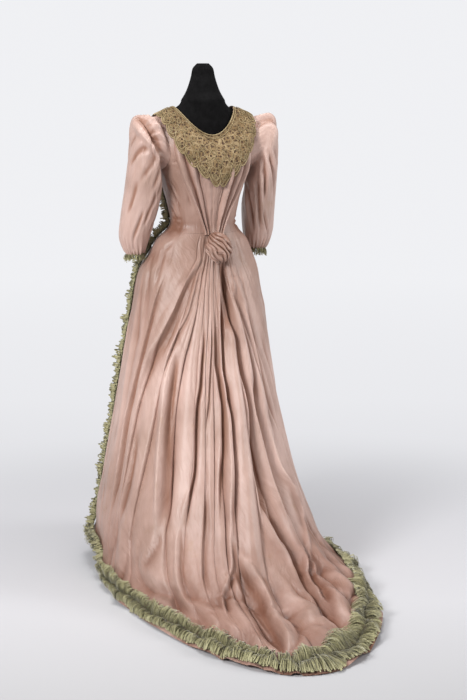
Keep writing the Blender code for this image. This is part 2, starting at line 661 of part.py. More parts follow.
def collar_lift(angle, level):
    """How far the collar's underside lies from the bodice: highest over the folds of the drape."""
    behind = 1 - ease(np.abs(angle - 180.0), 62.0, 84.0)
    over_drape = behind * ease(level, 0.6, 2.9)
    below_seam = COLLAR_LIFT + (COLLAR_LIFT_OVER_DRAPE - COLLAR_LIFT) * over_drape
    return COLLAR_LIFT_AT_NECK + (below_seam - COLLAR_LIFT_AT_NECK) * ease(level, 0.0, 0.5)


def build_collar(lace):
    """The lace collar in a back and a front half, with scallops at its edge and holes cut through."""
    columns = 3 * SCALLOPS // 2 + 1
    for name, start in (("collar_back", 90.0), ("collar_front", -90.0)):
        angle = np.linspace(start, start + 180.0, columns)
        angle[0] += 0.12
        angle[-1] -= 0.12
        from_front = 180.0 - np.abs(180.0 - np.abs(angle))
        depth = smooth(column(COLLAR, COLLAR_COLUMNS, "angle"),
                       column(COLLAR, COLLAR_COLUMNS, "depth"), from_front)
        notch = np.where(np.arange(columns) % 3 == 0, 0.88, 1.0)
        notch = 1 - (1 - notch) * np.minimum(1.0, depth / 2.2)
        share = np.array(COLLAR_ROWS)[:, None]
        level = 0.03 + share * depth * (1 - (1 - notch) * share**3)
        angles = np.broadcast_to(angle, level.shape)
        base, normal = shell_point(angles, level), shell_normal(angles, level)
        lift = collar_lift(np.abs(angles), level)[..., None]
        holes = {
            (r, c)
            for r in range(1, len(COLLAR_ROWS) - 1)
            for c in range(columns - 1)
            if c % 3 == 1
        }
        outer, inner = base + normal * (lift + LACE), base + normal * lift
        wall(name, outer, inner, lace, holes=holes)


def ruche_on(name, surface, normals, high, material):
    """A pleated band on a surface: its columns lie low and stand high by turns."""
    rows, columns = surface.shape[:2]
    across = np.linspace(0, 1, rows)[:, None]
    crown = 0.42 + 0.58 * np.sin(np.pi * across)
    odd = (np.arange(columns) % 2)[None, :]
    lift = (RUCHE_GAP + high * crown * odd)[..., None]
    inner = surface + normals * lift
    outer = inner + normals * RUCHE_WALL
    wall(name, outer, inner, material)


def build_ruches(green, grids):
    """The ruche along the hem of the robe and up its two front edges."""
    levels = np.array(BODICE_LEVELS + SKIRT_LEVELS)
    rows = np.interp(HEM_RUCHE_LEVELS, SKIRT_LEVELS, np.arange(len(SKIRT_LEVELS)))[:, None]
    columns = np.arange(0.0, grids["train"].shape[1] - 0.9, 0.5)[None, :]
    columns[0, 0], columns[0, -1] = 0.03, columns[0, -1] - 0.03
    rows, columns = np.broadcast_arrays(rows, columns)
    level = np.interp(rows, np.arange(len(SKIRT_LEVELS)), SKIRT_LEVELS)
    smoothed = shell_normal(train_angle(columns / COLUMNS_IN_FOLD, level), level)
    folded = resample(grid_normals(grids["train"]), rows, columns)
    ruche_on(
        "hem_ruche_train",
        resample(grids["train"], rows, columns),
        unit(smoothed + RUCHE_LEAN * folded),
        HEM_RUCHE_HIGH,
        green,
    )
    for hand in ("left", "right"):
        front, back = grids[f"side_front_{hand}"], grids[f"side_back_{hand}"]
        pair = (front, back) if hand == "left" else (back, front)
        grid = np.concatenate([pair[0], pair[1][:, 1:]], axis=1)
        rows = np.interp(HEM_RUCHE_LEVELS, levels, np.arange(len(levels)))[:, None]
        columns = np.arange(1.0, 8.01, 0.5)[None, :]
        columns[0, -1] -= 0.03
        if hand == "right":
            columns = 8.0 - columns[:, ::-1]
        rows, columns = np.broadcast_arrays(rows, columns)
        surface, normals = resample(grid, rows, columns), grid_normals(grid)
        normals = unit(resample(normals, rows, columns))
        ruche_on(f"hem_ruche_{hand}", surface, normals, HEM_RUCHE_HIGH, green)
        front_ruche(f"front_ruche_{hand}", front, levels, hand, green)


def front_ruche(name, grid, levels, hand, material):
    """A ruche beside the front seam: its waves follow one another down the edge of the robe."""
    if hand == "right":
        grid = grid[:, ::-1]
    stops = []
    for here, following in zip(levels[:-1], levels[1:]):
        if here >= FRONT_RUCHE_START:
            pieces = 4 if 11 <= here < 17 else 2
            stops.extend(here + (following - here) * k / pieces for k in range(pieces))
    stops = np.array([*stops, levels[-1] - 0.05])
    rows = np.interp(stops, levels, np.arange(len(levels)))
    lower = ease(stops, UNDERARM, KNOT_LEVEL)
    width, high = (
        FRONT_RUCHE_ON_BODICE[size] * (1 - lower) + FRONT_RUCHE_ON_SKIRT[size] * lower
        for size in ("width", "high")
    )
    normals = grid_normals(grid) * (-1 if hand == "right" else 1)
    lines, outs = [], []
    for share in (0.0, 0.5, 1.0):
        wanted = 0.002 + share * width
        spots = np.empty(len(stops))
        for k, row in enumerate(rows):
            places = np.linspace(0, grid.shape[1] - 1, 41)
            path = resample(grid, np.full(41, row), places)
            steps = np.linalg.norm(np.diff(path, axis=0), axis=1)
            spots[k] = np.interp(wanted[k], np.concatenate([[0], np.cumsum(steps)]), places)
        lines.append(resample(grid, rows, spots))
        outs.append(unit(resample(normals, rows, spots)))
    surface, outward = np.stack(lines, axis=1), np.stack(outs, axis=1)
    if hand == "right":
        surface, outward = surface[:, ::-1], outward[:, ::-1]
    odd = (np.arange(len(stops)) % 2)[:, None]
    crown = np.array([0.55, 1.0, 0.55])[None, :]
    lift = (RUCHE_GAP + high[:, None] * crown * odd)[..., None]
    inner = surface + outward * lift
    wall(name, inner + outward * RUCHE_WALL, inner, material)


def build_form(black, steel):
    """The limbless dress form inside the gown, on its pole and round base."""
    turn = np.linspace(0, 2 * np.pi, FORM_SIDES, endpoint=False)
    angle = np.degrees(turn)
    circle = np.stack([np.sin(turn), -np.cos(turn), 0 * turn], axis=-1)
    rings = [circle * radius + np.array([0.0, NECK_Y, height]) for radius, height in NECK]
    body = []
    for level in FORM_LEVELS:
        gap = FORM_SHOULDER_GAP + (FORM_GAP - FORM_SHOULDER_GAP) * ease(level, 2.0, 4.0)
        gap += (FORM_SEAT_GAP - FORM_GAP) * ease(level, 8.5, 10.0)
        body.append(shell_point(angle, level) - shell_normal(angle, level) * (CLOTH + gap))
    neck, neckline = rings[-1], body[0]
    for share in (0.34, 0.68):
        blend = neck + (neckline - neck) * np.array([share**1.7, share**1.7, share])
        rings.append(blend)
    foot = body[-1].copy()
    foot[:, 2] = foot[:, 2].min()
    body[-1] = foot
    closed_rings("form_body", rings + body, black)
    foot_z = foot[0, 2]
    ends = (foot_z - REST_GAP, BASE_THICK + REST_GAP)
    turn = np.linspace(0, 2 * np.pi, POLE_SIDES, endpoint=False)
    circle = np.stack([np.sin(turn), -np.cos(turn), 0 * turn], axis=-1)
    rings = [circle * POLE_RADIUS + np.array([0.0, 0.0, z]) for z in ends]
    closed_rings("form_pole", rings, steel)
    turn = np.linspace(0, 2 * np.pi, BASE_SIDES, endpoint=False)
    circle = np.stack([np.sin(turn), -np.cos(turn), 0 * turn], axis=-1)
    bevel = 0.004
    profile = (
        (BASE_RADIUS - bevel, BASE_THICK),
        (BASE_RADIUS, BASE_THICK - bevel),
        (BASE_RADIUS, 0.0),
    )
    rings = [circle * radius + np.array([0.0, 0.0, z]) for radius, z in profile]
    closed_rings("form_base", rings, steel)


def main():
    for obj in list(bpy.data.objects):
        bpy.data.objects.remove(obj)
    rose = new_material("rose_silk", ROSE, 0.45)
    green = new_material("green_silk", GREEN, 0.60)
    lace = new_material("gold_lace", LACE_GOLD, 0.75)
    black = new_material("form_cover", BLACK, 0.80)
    steel = new_material("form_stand", STEEL, 0.35, 0.9)
    grids = build_gown(rose)
    drape = build_drape(rose)
    build_knot(rose, drape, grids["train"])
    build_sleeves(rose, green)
    build_collar(lace)
    build_ruches(green, grids)
    build_form(black, steel)


main()
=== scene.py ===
"""The looks of a ball gown with a train, on a dress form: silk, lace, ruches, light and camera.

The front faces -Y, the wearer's left is +X and the train runs back along +Y. Angles go round the
gown in degrees, 0 at centre front, 90 at the wearer's left and 180 at centre back. Levels count
down the section table. Every piece of cloth is a surface worked out on a grid of two parameters.
"""

import math

import bpy
import numpy as np
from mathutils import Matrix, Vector


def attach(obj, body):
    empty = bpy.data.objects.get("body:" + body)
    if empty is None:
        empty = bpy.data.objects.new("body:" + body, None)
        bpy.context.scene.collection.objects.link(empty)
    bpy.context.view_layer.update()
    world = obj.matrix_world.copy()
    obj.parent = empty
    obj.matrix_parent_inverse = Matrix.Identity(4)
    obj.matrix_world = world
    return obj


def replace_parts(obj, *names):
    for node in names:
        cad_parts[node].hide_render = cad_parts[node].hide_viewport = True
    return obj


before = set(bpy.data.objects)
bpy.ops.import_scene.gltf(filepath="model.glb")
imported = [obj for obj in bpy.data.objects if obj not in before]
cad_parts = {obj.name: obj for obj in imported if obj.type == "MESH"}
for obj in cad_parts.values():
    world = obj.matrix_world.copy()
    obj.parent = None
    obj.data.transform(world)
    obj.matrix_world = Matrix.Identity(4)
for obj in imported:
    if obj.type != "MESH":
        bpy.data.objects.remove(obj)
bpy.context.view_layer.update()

# Sections of the gown from the neckline to the hem, in metres: the height at the front, sides and
# back, and the reach to them from the middle. lean moves a section to the wearer's left and sweep
# moves only its back. narrow draws in the sides and lift raises the front. Seams are in degrees.
SECTION_COLUMNS = (
    "level", "z_front", "z_side", "z_back", "front", "side", "back", "lean", "sweep",
    "narrow", "lift", "front_seam", "side_seam", "back_seam",
)
SECTIONS = (
    ("neckline", 1.330, 1.450, 1.367, 0.086, 0.0975, 0.073, 0.000, 0.0, 0.0, 0.0, 36, 90, 140),
    ("collar", 1.300, 1.436, 1.340, 0.102, 0.1310, 0.095, 0.000, 0.0, 0.0, 0.0, 38, 90, 140),
    ("shoulder", 1.275, 1.416, 1.312, 0.113, 0.1640, 0.110, 0.000, 0.0, 0.0, 0.0, 40, 90, 139),
    ("blades", 1.253, 1.372, 1.286, 0.121, 0.1700, 0.117, 0.000, 0.0, 0.0, 0.0, 42, 90, 138),
    ("armhole", 1.235, 1.325, 1.262, 0.126, 0.1640, 0.119, 0.000, 0.0, 0.0, 0.0, 43, 90, 137),
    ("underarm", 1.218, 1.270, 1.235, 0.128, 0.1470, 0.116, 0.000, 0.0, 0.0, 0.0, 44, 90, 133),
    ("chest", 1.195, 1.215, 1.200, 0.120, 0.1280, 0.108, 0.000, 0.0, 0.0, 0.0, 46, 90, 130),
    ("ribs", 1.150, 1.158, 1.152, 0.101, 0.1130, 0.094, 0.000, 0.0, 0.0, 0.0, 48, 90, 128),
    ("waist", 1.098, 1.098, 1.098, 0.086, 0.1040, 0.085, 0.000, 0.0, 0.0, 0.0, 50, 90, 128),
    ("basque", 1.045, 1.045, 1.045, 0.120, 0.1470, 0.096, 0.004, 0.0, 0.0, 0.0, 51, 90, 130),
    ("hip", 1.000, 1.000, 0.997, 0.156, 0.1680, 0.112, 0.006, 0.0, 0.0, 0.0, 52, 89, 131),
    ("seat", 0.950, 0.950, 0.940, 0.180, 0.1910, 0.134, 0.012, 0.0, 0.0, 0.0, 52, 86, 126),
    ("thigh", 0.880, 0.880, 0.862, 0.200, 0.2010, 0.162, 0.016, 0.0, 0.0, 0.0, 52, 84, 117),
    ("upper_skirt", 0.795, 0.795, 0.770, 0.221, 0.2150, 0.190, 0.016, 0.0, 0.0, 0.0, 52, 82, 111),
    ("mid_thigh", 0.705, 0.705, 0.672, 0.241, 0.2290, 0.218, 0.018, 0.0, 0.0, 0.0, 52, 81, 106),
    ("knee", 0.610, 0.610, 0.568, 0.261, 0.2440, 0.248, 0.020, 0.002, 0.0, 0.0, 52, 80, 101),
    ("below_knee", 0.510, 0.510, 0.458, 0.281, 0.259, 0.286, 0.021, 0.006, 0.0, 0.0, 52, 79, 97),
    ("calf", 0.410, 0.410, 0.348, 0.302, 0.278, 0.334, 0.020, 0.012, 0.0, 0.000, 52, 78, 96),
    ("mid_calf", 0.325, 0.325, 0.250, 0.322, 0.296, 0.392, 0.018, 0.022, 0.0, 0.000, 52, 78, 95),
    ("lower_calf", 0.245, 0.245, 0.162, 0.346, 0.313, 0.452, 0.014, 0.034, 0.0, 0.004, 52, 77, 93),
    ("ankle", 0.175, 0.175, 0.096, 0.364, 0.330, 0.530, 0.010, 0.042, 0.010, 0.012, 52, 77, 92),
    ("instep", 0.115, 0.108, 0.054, 0.380, 0.346, 0.635, 0.005, 0.055, 0.045, 0.026, 52, 77, 92),
    ("ruche_top", 0.085, 0.060, 0.024, 0.390, 0.368, 0.790, 0.001, 0.068, 0.110, 0.040, 52, 77, 91),
    ("ruche_middle", 0.050, 0.030, 0.012, 0.396, 0.388, 0.890, -0.001, 0.076, 0.140, 0.050, 52, 77, 91),
    ("hem", 0.018, 0.006, 0.0045, 0.402, 0.406, 0.985, -0.003, 0.084, 0.165, 0.058, 52, 77, 91),
)
LEVEL = {row[0]: number for number, row in enumerate(SECTIONS)}
SHOULDER, UNDERARM = LEVEL["shoulder"], LEVEL["underarm"]
KNOT_LEVEL, HEM = LEVEL["basque"], LEVEL["hem"]
TRAIN_TOP = 8.5
ARMHOLE_HALF_DEG = 33.0
# The walls of the solids are CLOTH thick. A turned edge lies TURNING under the cloth.
CLOTH = 0.0020
TURNING = 0.0014
# Depth of the dip along a seam, and height of the puckers beside it
SEAM_DIP = 0.0005
# How far over the floor the lowest cloth of each kind lies
PANEL_REST, TRAIN_REST, PLEAT_REST = 0.0025, 0.0028, 0.0015

# Valleys between the train's pleats: how far they lie from centre back, as a share of the way to
# the seam on the wearer's left, at six levels, then their depths at the top, middle and floor
VALLEY_COLUMNS = (
    "valley", "hip", "thigh", "mid_thigh", "below_knee", "mid_calf", "ankle",
    "top", "middle", "low",
)
VALLEYS = (
    ("left_seam", 1.00, 1.00, 1.00, 1.00, 1.00, 1.00, 0.000, 0.000, 0.000),
    ("left_broad", 0.45, 0.62, 0.83, 0.87, 0.90, 0.91, 0.007, 0.010, 0.006),
    ("left_pocket", 0.33, 0.47, 0.64, 0.68, 0.76, 0.80, 0.002, 0.008, 0.012),
    ("left_deep", 0.24, 0.33, 0.48, 0.52, 0.545, 0.56, 0.004, 0.018, 0.022),
    ("left_pleat", 0.175, 0.24, 0.32, 0.33, 0.40, 0.45, 0.002, 0.011, 0.013),
    ("left_fine", 0.12, 0.175, 0.235, 0.245, 0.29, 0.34, 0.002, 0.010, 0.010),
    ("left_shade", 0.065, 0.11, 0.155, 0.175, 0.22, 0.26, 0.009, 0.011, 0.008),
    ("heart_fine", 0.01, 0.045, 0.075, 0.11, 0.15, 0.18, 0.001, 0.008, 0.015),
    ("heart_deep", -0.045, -0.02, 0.005, 0.037, 0.08, 0.11, 0.010, 0.014, 0.022),
    ("centre", -0.10, -0.095, -0.10, -0.10, -0.08, -0.05, 0.016, 0.022, 0.022),
    ("right_fine", -0.155, -0.16, -0.175, -0.19, -0.22, -0.26, 0.005, 0.014, 0.022),
    ("right_pleat", -0.215, -0.23, -0.27, -0.31, -0.36, -0.40, 0.010, 0.022, 0.026),
    ("right_short", -0.30, -0.32, -0.37, -0.42, -0.50, -0.56, 0.003, 0.016, 0.024),
    ("right_outer", -0.42, -0.46, -0.52, -0.57, -0.64, -0.71, 0.004, 0.012, 0.018),
    ("right_side", -0.65, -0.68, -0.72, -0.76, -0.82, -0.87, 0.002, 0.006, 0.012),
    ("right_seam", -1.00, -1.00, -1.00, -1.00, -1.00, -1.00, 0.000, 0.000, 0.000),
)
SPACES = len(VALLEYS) - 1
# Lapped pleats: how much of a valley's depth the crest stands over the shell and the trough under it
CREST, TROUGH = 0.52, 0.80
# Near the floor RIDGE_SHARE of a fold's height stands over the shell and the rest lies under it, and
# a valley takes up VALLEY_REACH of the way to the next.
RIDGE_SHARE = 0.45
VALLEY_REACH = 0.42

# Folds of the train: a path of (across, level) points, the width and depth of the hollow and the
# height of the lip beside it, in metres. The lip stands to the left and hangs over the hollow, or
# to the right where the width is below zero. A depth below zero makes a ridge.
TRAIN_FOLDS = (
    (((0.06, 10.5), (0.10, 11.5), (0.09, 12.8), (0.12, 14.6), (0.20, 16.3), (0.27, 17.7), (0.25, 19.8)),
     0.010, 0.011, 0.005),
    (((3.00, 9.7), (1.90, 10.6), (1.30, 11.9), (1.25, 13.1), (0.95, 14.2), (0.90, 15.5)),
     0.024, 0.011, 0.003),
    (((2.60, 10.3), (2.58, 11.5), (2.45, 12.3), (2.05, 13.1), (2.00, 13.8), (2.10, 14.8)),
     0.008, 0.006, 0.002),
    (((2.30, 13.0), (2.50, 14.2), (2.62, 15.0), (2.85, 16.1), (2.90, 17.2), (2.90, 18.4), (2.88, 19.2)),
     0.026, 0.028, 0.009),
    (((4.30, 12.2), (4.50, 13.5), (4.50, 14.4), (4.23, 15.2), (4.20, 15.9), (4.25, 16.7), (4.05, 17.4),
      (3.90, 18.6)), 0.009, 0.016, 0.005),
    (((5.65, 12.2), (5.68, 13.9), (5.70, 14.8), (5.20, 15.8)), 0.006, 0.009, 0.003),
    (((6.48, 11.8), (6.48, 13.7), (6.85, 14.4), (7.20, 15.2), (7.20, 15.9), (6.85, 16.9), (6.68, 18.2)),
     0.014, 0.015, 0.004),
    (((9.00, 10.2), (8.40, 11.4), (7.70, 12.6), (7.55, 13.9), (7.95, 14.7), (8.15, 15.7), (8.15, 16.4),
      (8.05, 17.2), (7.95, 18.0), (8.10, 19.2)), 0.011, 0.028, 0.005),
    (((10.40, 9.9), (9.62, 11.6), (9.35, 12.7), (9.58, 13.5), (9.75, 14.1), (10.00, 15.1), (9.70, 16.0),
      (9.55, 17.0), (9.42, 17.8), (9.43, 18.8)), 0.014, 0.028, 0.005),
    (((9.70, 9.9), (9.05, 11.4), (8.70, 13.2)), 0.020, 0.020, 0.000),
    (((12.88, 12.0), (12.65, 13.2), (12.60, 13.9), (12.50, 14.6), (12.45, 15.2), (12.80, 16.4)),
     0.015, 0.022, 0.007),
    (((11.62, 11.2), (11.45, 12.9), (11.30, 13.8), (10.90, 15.4)), 0.017, 0.020, 0.005),
    (((9.50, 15.6), (9.60, 17.1), (9.75, 17.9), (9.95, 18.7), (10.12, 19.6), (9.95, 20.8)),
     0.028, 0.028, 0.007),
    (((11.40, 17.0), (11.95, 18.5), (11.30, 19.7), (10.25, 21.4)), 0.011, -0.007, 0.000),
    (((12.10, 15.9), (11.70, 17.0), (12.15, 18.1), (12.15, 19.4), (12.00, 20.9)), 0.020, 0.028, 0.009),
    (((13.50, 13.0), (13.60, 15.0), (13.40, 17.0), (13.50, 19.0)), 0.020, 0.014, 0.005),
    (((10.95, 14.2), (10.75, 15.6), (10.70, 17.0), (11.00, 18.8)), 0.016, 0.026, 0.008),
    (((14.30, 15.0), (14.15, 17.0), (14.20, 19.5)), 0.018, 0.010, 0.004),
    (((11.20, 19.4), (10.50, 20.4), (10.20, 21.8)), 0.020, 0.016, 0.008),
    (((7.93, 18.7), (8.22, 20.0), (8.33, 20.6), (8.35, 21.4), (8.00, 22.6)), -0.026, 0.024, 0.012),
    (((7.85, 18.0), (7.70, 19.1), (6.30, 20.4), (5.65, 21.6)), 0.012, 0.010, 0.004),
    (((3.90, 18.4), (3.85, 19.7), (3.75, 21.2)), 0.014, 0.009, 0.006),
    (((2.90, 18.6), (2.78, 19.6), (2.40, 21.0)), 0.022, 0.006, 0.002),
    (((8.75, 13.6), (8.72, 15.5), (8.68, 17.5), (8.75, 20.0)), 0.024, -0.016, 0.000),
    (((5.10, 17.0), (5.20, 18.6), (5.00, 20.5)), 0.014, 0.007, 0.003),
    (((1.20, 16.0), (1.30, 17.6), (1.20, 19.6)), 0.020, 0.008, 0.003),
)

# Depth from which a fold's painted shade is as dark as it gets
DARKEST_DEPTH = 0.018

# Drape: its half width and the height of its ridges, in metres, at levels down the back
DRAPE_COLUMNS = ("level", "half_width", "ridge")
DRAPE = (
    (1.6, 0.128, 0.0015),
    (2.4, 0.129, 0.0025),
    (3.2, 0.128, 0.0040),
    (4.1, 0.120, 0.0055),
    (5.0, 0.106, 0.0065),
    (6.0, 0.084, 0.0065),
    (7.0, 0.060, 0.0060),
    (7.8, 0.043, 0.0050),
    (8.45, 0.032, 0.0030),
)
# The drape lies DRAPE_EDGE over the bodice at its edges and DRAPE_BODY more between them.
DRAPE_EDGE, DRAPE_BODY = 0.0012, 0.0030
# Folds of the drape: how far over they lie, from -1 at the left edge, their height and width. The
# heights are for a level whose ridges are 6 mm high, RIDGE_UNIT.
# Two bold ones lie at each side, with deep valleys beside them, and the middle is nearly flat.
RIDGE_UNIT = 0.0060
DRAPE_RIDGES = (
    (-0.89, 0.0105, 0.085),
    (-0.66, 0.0100, 0.080),
    (-0.30, 0.0016, 0.110),
    (-0.06, 0.0014, 0.090),
    (0.12, -0.0020, 0.025),
    (0.34, 0.0095, 0.105),
    (0.62, 0.0085, 0.080),
    (0.85, 0.0100, 0.085),
)

# Knot at the small of the back: its middle, its half sizes and how far it leans back towards its
# lower end, in metres for each metre down
KNOT_CENTRE = (-0.002, 0.107, 1.031)
KNOT_HALF = (0.043, 0.046, 0.045)
KNOT_TILT = 0.30
# How much of the half sizes the knot without its bands takes up, to each side, back and up
KNOT_BODY = (0.90, 0.95, 0.98)

# Sleeve: a row for each ring below the armhole, with the x and z of its outer point and of its
# inner point, the place of its middle along Y and its half depth.
SLEEVE = (
    (0.190, 1.4260, 0.1560, 1.273, 0.012, 0.067),
    (0.218, 1.4290, 0.1590, 1.264, 0.014, 0.073),
    (0.234, 1.4150, 0.1560, 1.246, 0.015, 0.075),
    (0.240, 1.3700, 0.1500, 1.222, 0.013, 0.074),
    (0.243, 1.3000, 0.1490, 1.190, 0.008, 0.072),
    (0.248, 1.2100, 0.1500, 1.145, -0.012, 0.070),
    (0.254, 1.1250, 0.1600, 1.090, -0.034, 0.064),
    (0.257, 1.0620, 0.1690, 1.045, -0.046, 0.055),
    (0.243, 1.0190, 0.1770, 1.016, -0.047, 0.041),
    (0.231, 1.0030, 0.1830, 1.003, -0.046, 0.028),
)

# Ruches: the points down each pleat, and the heights of the rows that lie over each other
PLEAT_STEPS = 6
ROW_HEIGHTS = (1.0, 0.70, 0.35)
# Metres along a ruche over which the height, reach and lean of its pleats and its middle line vary
BUNCHES = {"height": 0.019, "reach": 0.036, "lean": 0.015, "line": 0.045}
# Ruche along the hem: the levels of its edges, and the greatest distance between them in metres
HEM_RUCHE_LEVELS = (21.95, 23.97)
HEM_RUCHE_WIDTH = 0.145

# Gathers round the head of a sleeve and round its end
HEAD_GATHERS, END_GATHERS = 20, 18
# A sleeve's first ring is wider than the armhole by this factor. Its creases are placed as on a
# sleeve that measures SLEEVE_ROUND round the arm.
ARMHOLE_EASE = 1.09
SLEEVE_ROUND = 0.40

# Collar of lace: how far down it reaches, in levels, at angles from the front round to the back
COLLAR_COLUMNS = ("angle", "depth")
COLLAR = (
    (0, 2.60),
    (25, 2.25),
    (50, 1.90),
    (75, 1.72),
    (90, 1.70),
    (105, 1.74),
    (118, 2.02),
    (132, 2.65),
    (146, 3.60),
    (160, 4.60),
    (172, 5.40),
    (180, 5.85),
)
LOBE_DEGREES = 12.0
# Half the thickness of the lace's tapes and cords, and half the width of a cord
TAPE_HALF_THICK, CORD_HALF_WIDE = 8e-4, 11e-4
# Rings of cord on the lobes: how far round the lobe and down the collar they lie, and their radius
LACE_RINGS = (
    (0.5, 0.83, 0.0085),
    (0.5, 0.83, 0.0035),
    (0.0, 0.62, 0.0080),
    (0.5, 0.36, 0.0070),
)

# Neck of the dress form: the radius and height of its rings, and how far back its middle lies
NECK = (
    (0.0180, 1.5810),
    (0.0310, 1.5670),
    (0.0365, 1.5430),
    (0.0435, 1.5190),
    (0.0530, 1.4950),
    (0.0670, 1.4710),
)
NECK_Y = 0.004

# Creases, each from one point of the cloth to another. On the bodice x is metres round from
# centre back, more to the wearer's left, and y the height. On the floor they are X and Y.
CREASE_COLUMNS = ("x_from", "y_from", "x_to", "y_to", "width", "depth", "bow")
BODICE_CREASES = (
    (0.158, 1.306, 0.106, 1.322, 0.0040, 0.00960, 0.002),
    (0.185, 1.235, 0.115, 1.135, 0.0060, 0.00320, 0.006),
    (0.165, 1.255, 0.110, 1.165, 0.0050, 0.00256, 0.004),
    (0.150, 1.200, 0.095, 1.110, 0.0045, 0.00224, -0.004),
    (0.205, 1.190, 0.130, 1.105, 0.0060, 0.00288, 0.004),
    (0.175, 1.118, 0.085, 1.112, 0.0045, 0.00352, 0.003),
    (0.180, 1.098, 0.080, 1.096, 0.0042, 0.00384, -0.002),
    (0.165, 1.082, 0.095, 1.076, 0.0045, 0.00288, 0.002),
    (0.168, 1.238, 0.126, 1.184, 0.0034, 0.00480, 0.003),
    (0.163, 1.198, 0.086, 1.117, 0.0036, 0.00480, 0.004),
    (0.205, 1.176, 0.122, 1.109, 0.0034, 0.00416, 0.003),
    (0.130, 1.285, 0.096, 1.196, 0.0036, 0.00384, -0.003),
    (0.122, 1.245, 0.072, 1.144, 0.0034, 0.00384, 0.003),
    (0.205, 1.142, 0.098, 1.082, 0.0036, 0.00448, 0.003),
    (0.100, 1.072, 0.192, 1.020, 0.0050, 0.00480, 0.006),
    (-0.185, 1.240, -0.110, 1.140, 0.0060, 0.00320, -0.006),
    (-0.160, 1.215, -0.105, 1.120, 0.0050, 0.00256, 0.004),
    (-0.170, 1.112, -0.085, 1.108, 0.0045, 0.00352, 0.002),
    (-0.175, 1.090, -0.080, 1.094, 0.0042, 0.00352, -0.002),
    (-0.165, 1.072, -0.100, 1.066, 0.0045, 0.00256, 0.002),
    (0.130, 1.045, 0.165, 0.840, 0.0080, 0.00480, 0.006),
    (0.175, 1.040, 0.230, 0.800, 0.0090, 0.00416, -0.006),
    (0.240, 1.040, 0.290, 0.760, 0.0100, 0.00480, 0.006),
    (-0.130, 1.045, -0.160, 0.850, 0.0080, 0.00480, -0.005),
    (-0.180, 1.040, -0.230, 0.810, 0.0090, 0.00448, 0.004),
)
FLOOR_CREASES = (
    (0.16, 0.46, 0.00, 0.52, 0.014, 0.0060, 0.010),
    (0.20, 0.52, 0.06, 0.60, 0.012, 0.0070, -0.008),
    (0.28, 0.44, 0.17, 0.60, 0.015, 0.0080, 0.010),
    (0.34, 0.30, 0.28, 0.47, 0.013, 0.0060, 0.006),
    (0.33, 0.36, 0.28, 0.56, 0.012, 0.0090, -0.010),
    (0.29, 0.42, 0.28, 0.62, 0.010, 0.0100, 0.010),
    (0.31, 0.46, 0.25, 0.70, 0.012, 0.0090, -0.010),
    (0.24, 0.60, 0.20, 0.78, 0.012, 0.0080, 0.010),
    (0.12, 0.62, 0.12, 0.84, 0.016, 0.0120, 0.010),
    (0.04, 0.60, 0.00, 0.86, 0.018, 0.0100, -0.012),
    (-0.12, 0.56, -0.08, 0.74, 0.016, 0.0100, 0.012),
    (0.10, 0.62, -0.06, 0.66, 0.012, 0.0045, 0.006),
    (-0.10, 0.50, -0.22, 0.68, 0.016, 0.0065, 0.010),
    (-0.16, 0.44, -0.30, 0.60, 0.015, 0.0060, -0.008),
    (0.02, 0.70, -0.12, 0.80, 0.014, 0.0050, 0.006),
    (0.24, 0.66, 0.16, 0.80, 0.013, 0.0050, 0.006),
    (-0.22, 0.36, -0.34, 0.44, 0.014, 0.0050, 0.004),
    (0.32, 0.30, 0.36, 0.46, 0.013, 0.0045, 0.004),
)

# Creases of the sleeves: x is metres round from the outer edge over the back of the arm, and y
# metres down from the armhole.
SLEEVE_CREASES = {
    "left": (
        (-0.020, 0.070, 0.140, 0.034, 0.0180, 0.0230, -0.010),
        (-0.010, 0.048, 0.070, 0.012, 0.0090, -0.0050, -0.006),
        (0.060, 0.004, 0.090, 0.092, 0.0050, 0.0032, 0.003),
        (0.094, 0.010, 0.080, 0.140, 0.0050, 0.0032, 0.003),
        (0.130, 0.010, 0.045, 0.280, 0.0070, 0.0045, 0.006),
        (0.112, 0.040, 0.060, 0.210, 0.0050, 0.0027, 0.003),
        (0.150, 0.005, 0.093, 0.290, 0.0062, 0.0040, 0.004),
        (0.154, 0.080, 0.128, 0.285, 0.0056, 0.0032, 0.003),
        (0.085, 0.108, 0.000, 0.232, 0.0070, 0.0056, -0.005),
        (0.030, 0.120, -0.010, 0.180, 0.0060, 0.0032, -0.003),
        (0.048, 0.240, 0.026, 0.385, 0.0080, 0.0048, 0.003),
        (0.128, 0.210, 0.092, 0.425, 0.0070, 0.0046, 0.003),
        (0.090, 0.320, 0.066, 0.470, 0.0065, 0.0045, 0.002),
        (0.165, 0.245, 0.140, 0.450, 0.0065, 0.0040, 0.003),
        (0.250, 0.100, 0.330, 0.280, 0.0110, 0.0040, 0.008),
        (0.270, 0.280, 0.360, 0.400, 0.0100, 0.0040, -0.006),
        (0.340, 0.060, 0.380, 0.220, 0.0090, 0.0032, 0.006),
    ),
    "right": (
        (0.052, -0.050, 0.040, 0.150, 0.0130, 0.0100, -0.008),
        (0.026, 0.000, 0.020, 0.075, 0.0090, -0.0050, -0.004),
        (0.213, 0.035, 0.237, 0.200, 0.0070, 0.0079, 0.004),
        (0.152, 0.025, 0.112, 0.330, 0.0063, 0.0108, -0.006),
        (0.126, 0.050, 0.064, 0.330, 0.0058, 0.0086, -0.005),
        (0.168, 0.110, 0.122, 0.450, 0.0063, 0.0094, -0.004),
        (0.213, 0.130, 0.150, 0.455, 0.0070, 0.0079, -0.005),
        (0.096, 0.090, 0.050, 0.250, 0.0049, 0.0043, -0.003),
        (0.126, 0.320, 0.078, 0.470, 0.0053, 0.0050, 0.003),
        (0.260, 0.100, 0.320, 0.280, 0.0097, 0.0036, 0.008),
        (0.280, 0.260, 0.360, 0.400, 0.0088, 0.0036, -0.006),
    ),
}

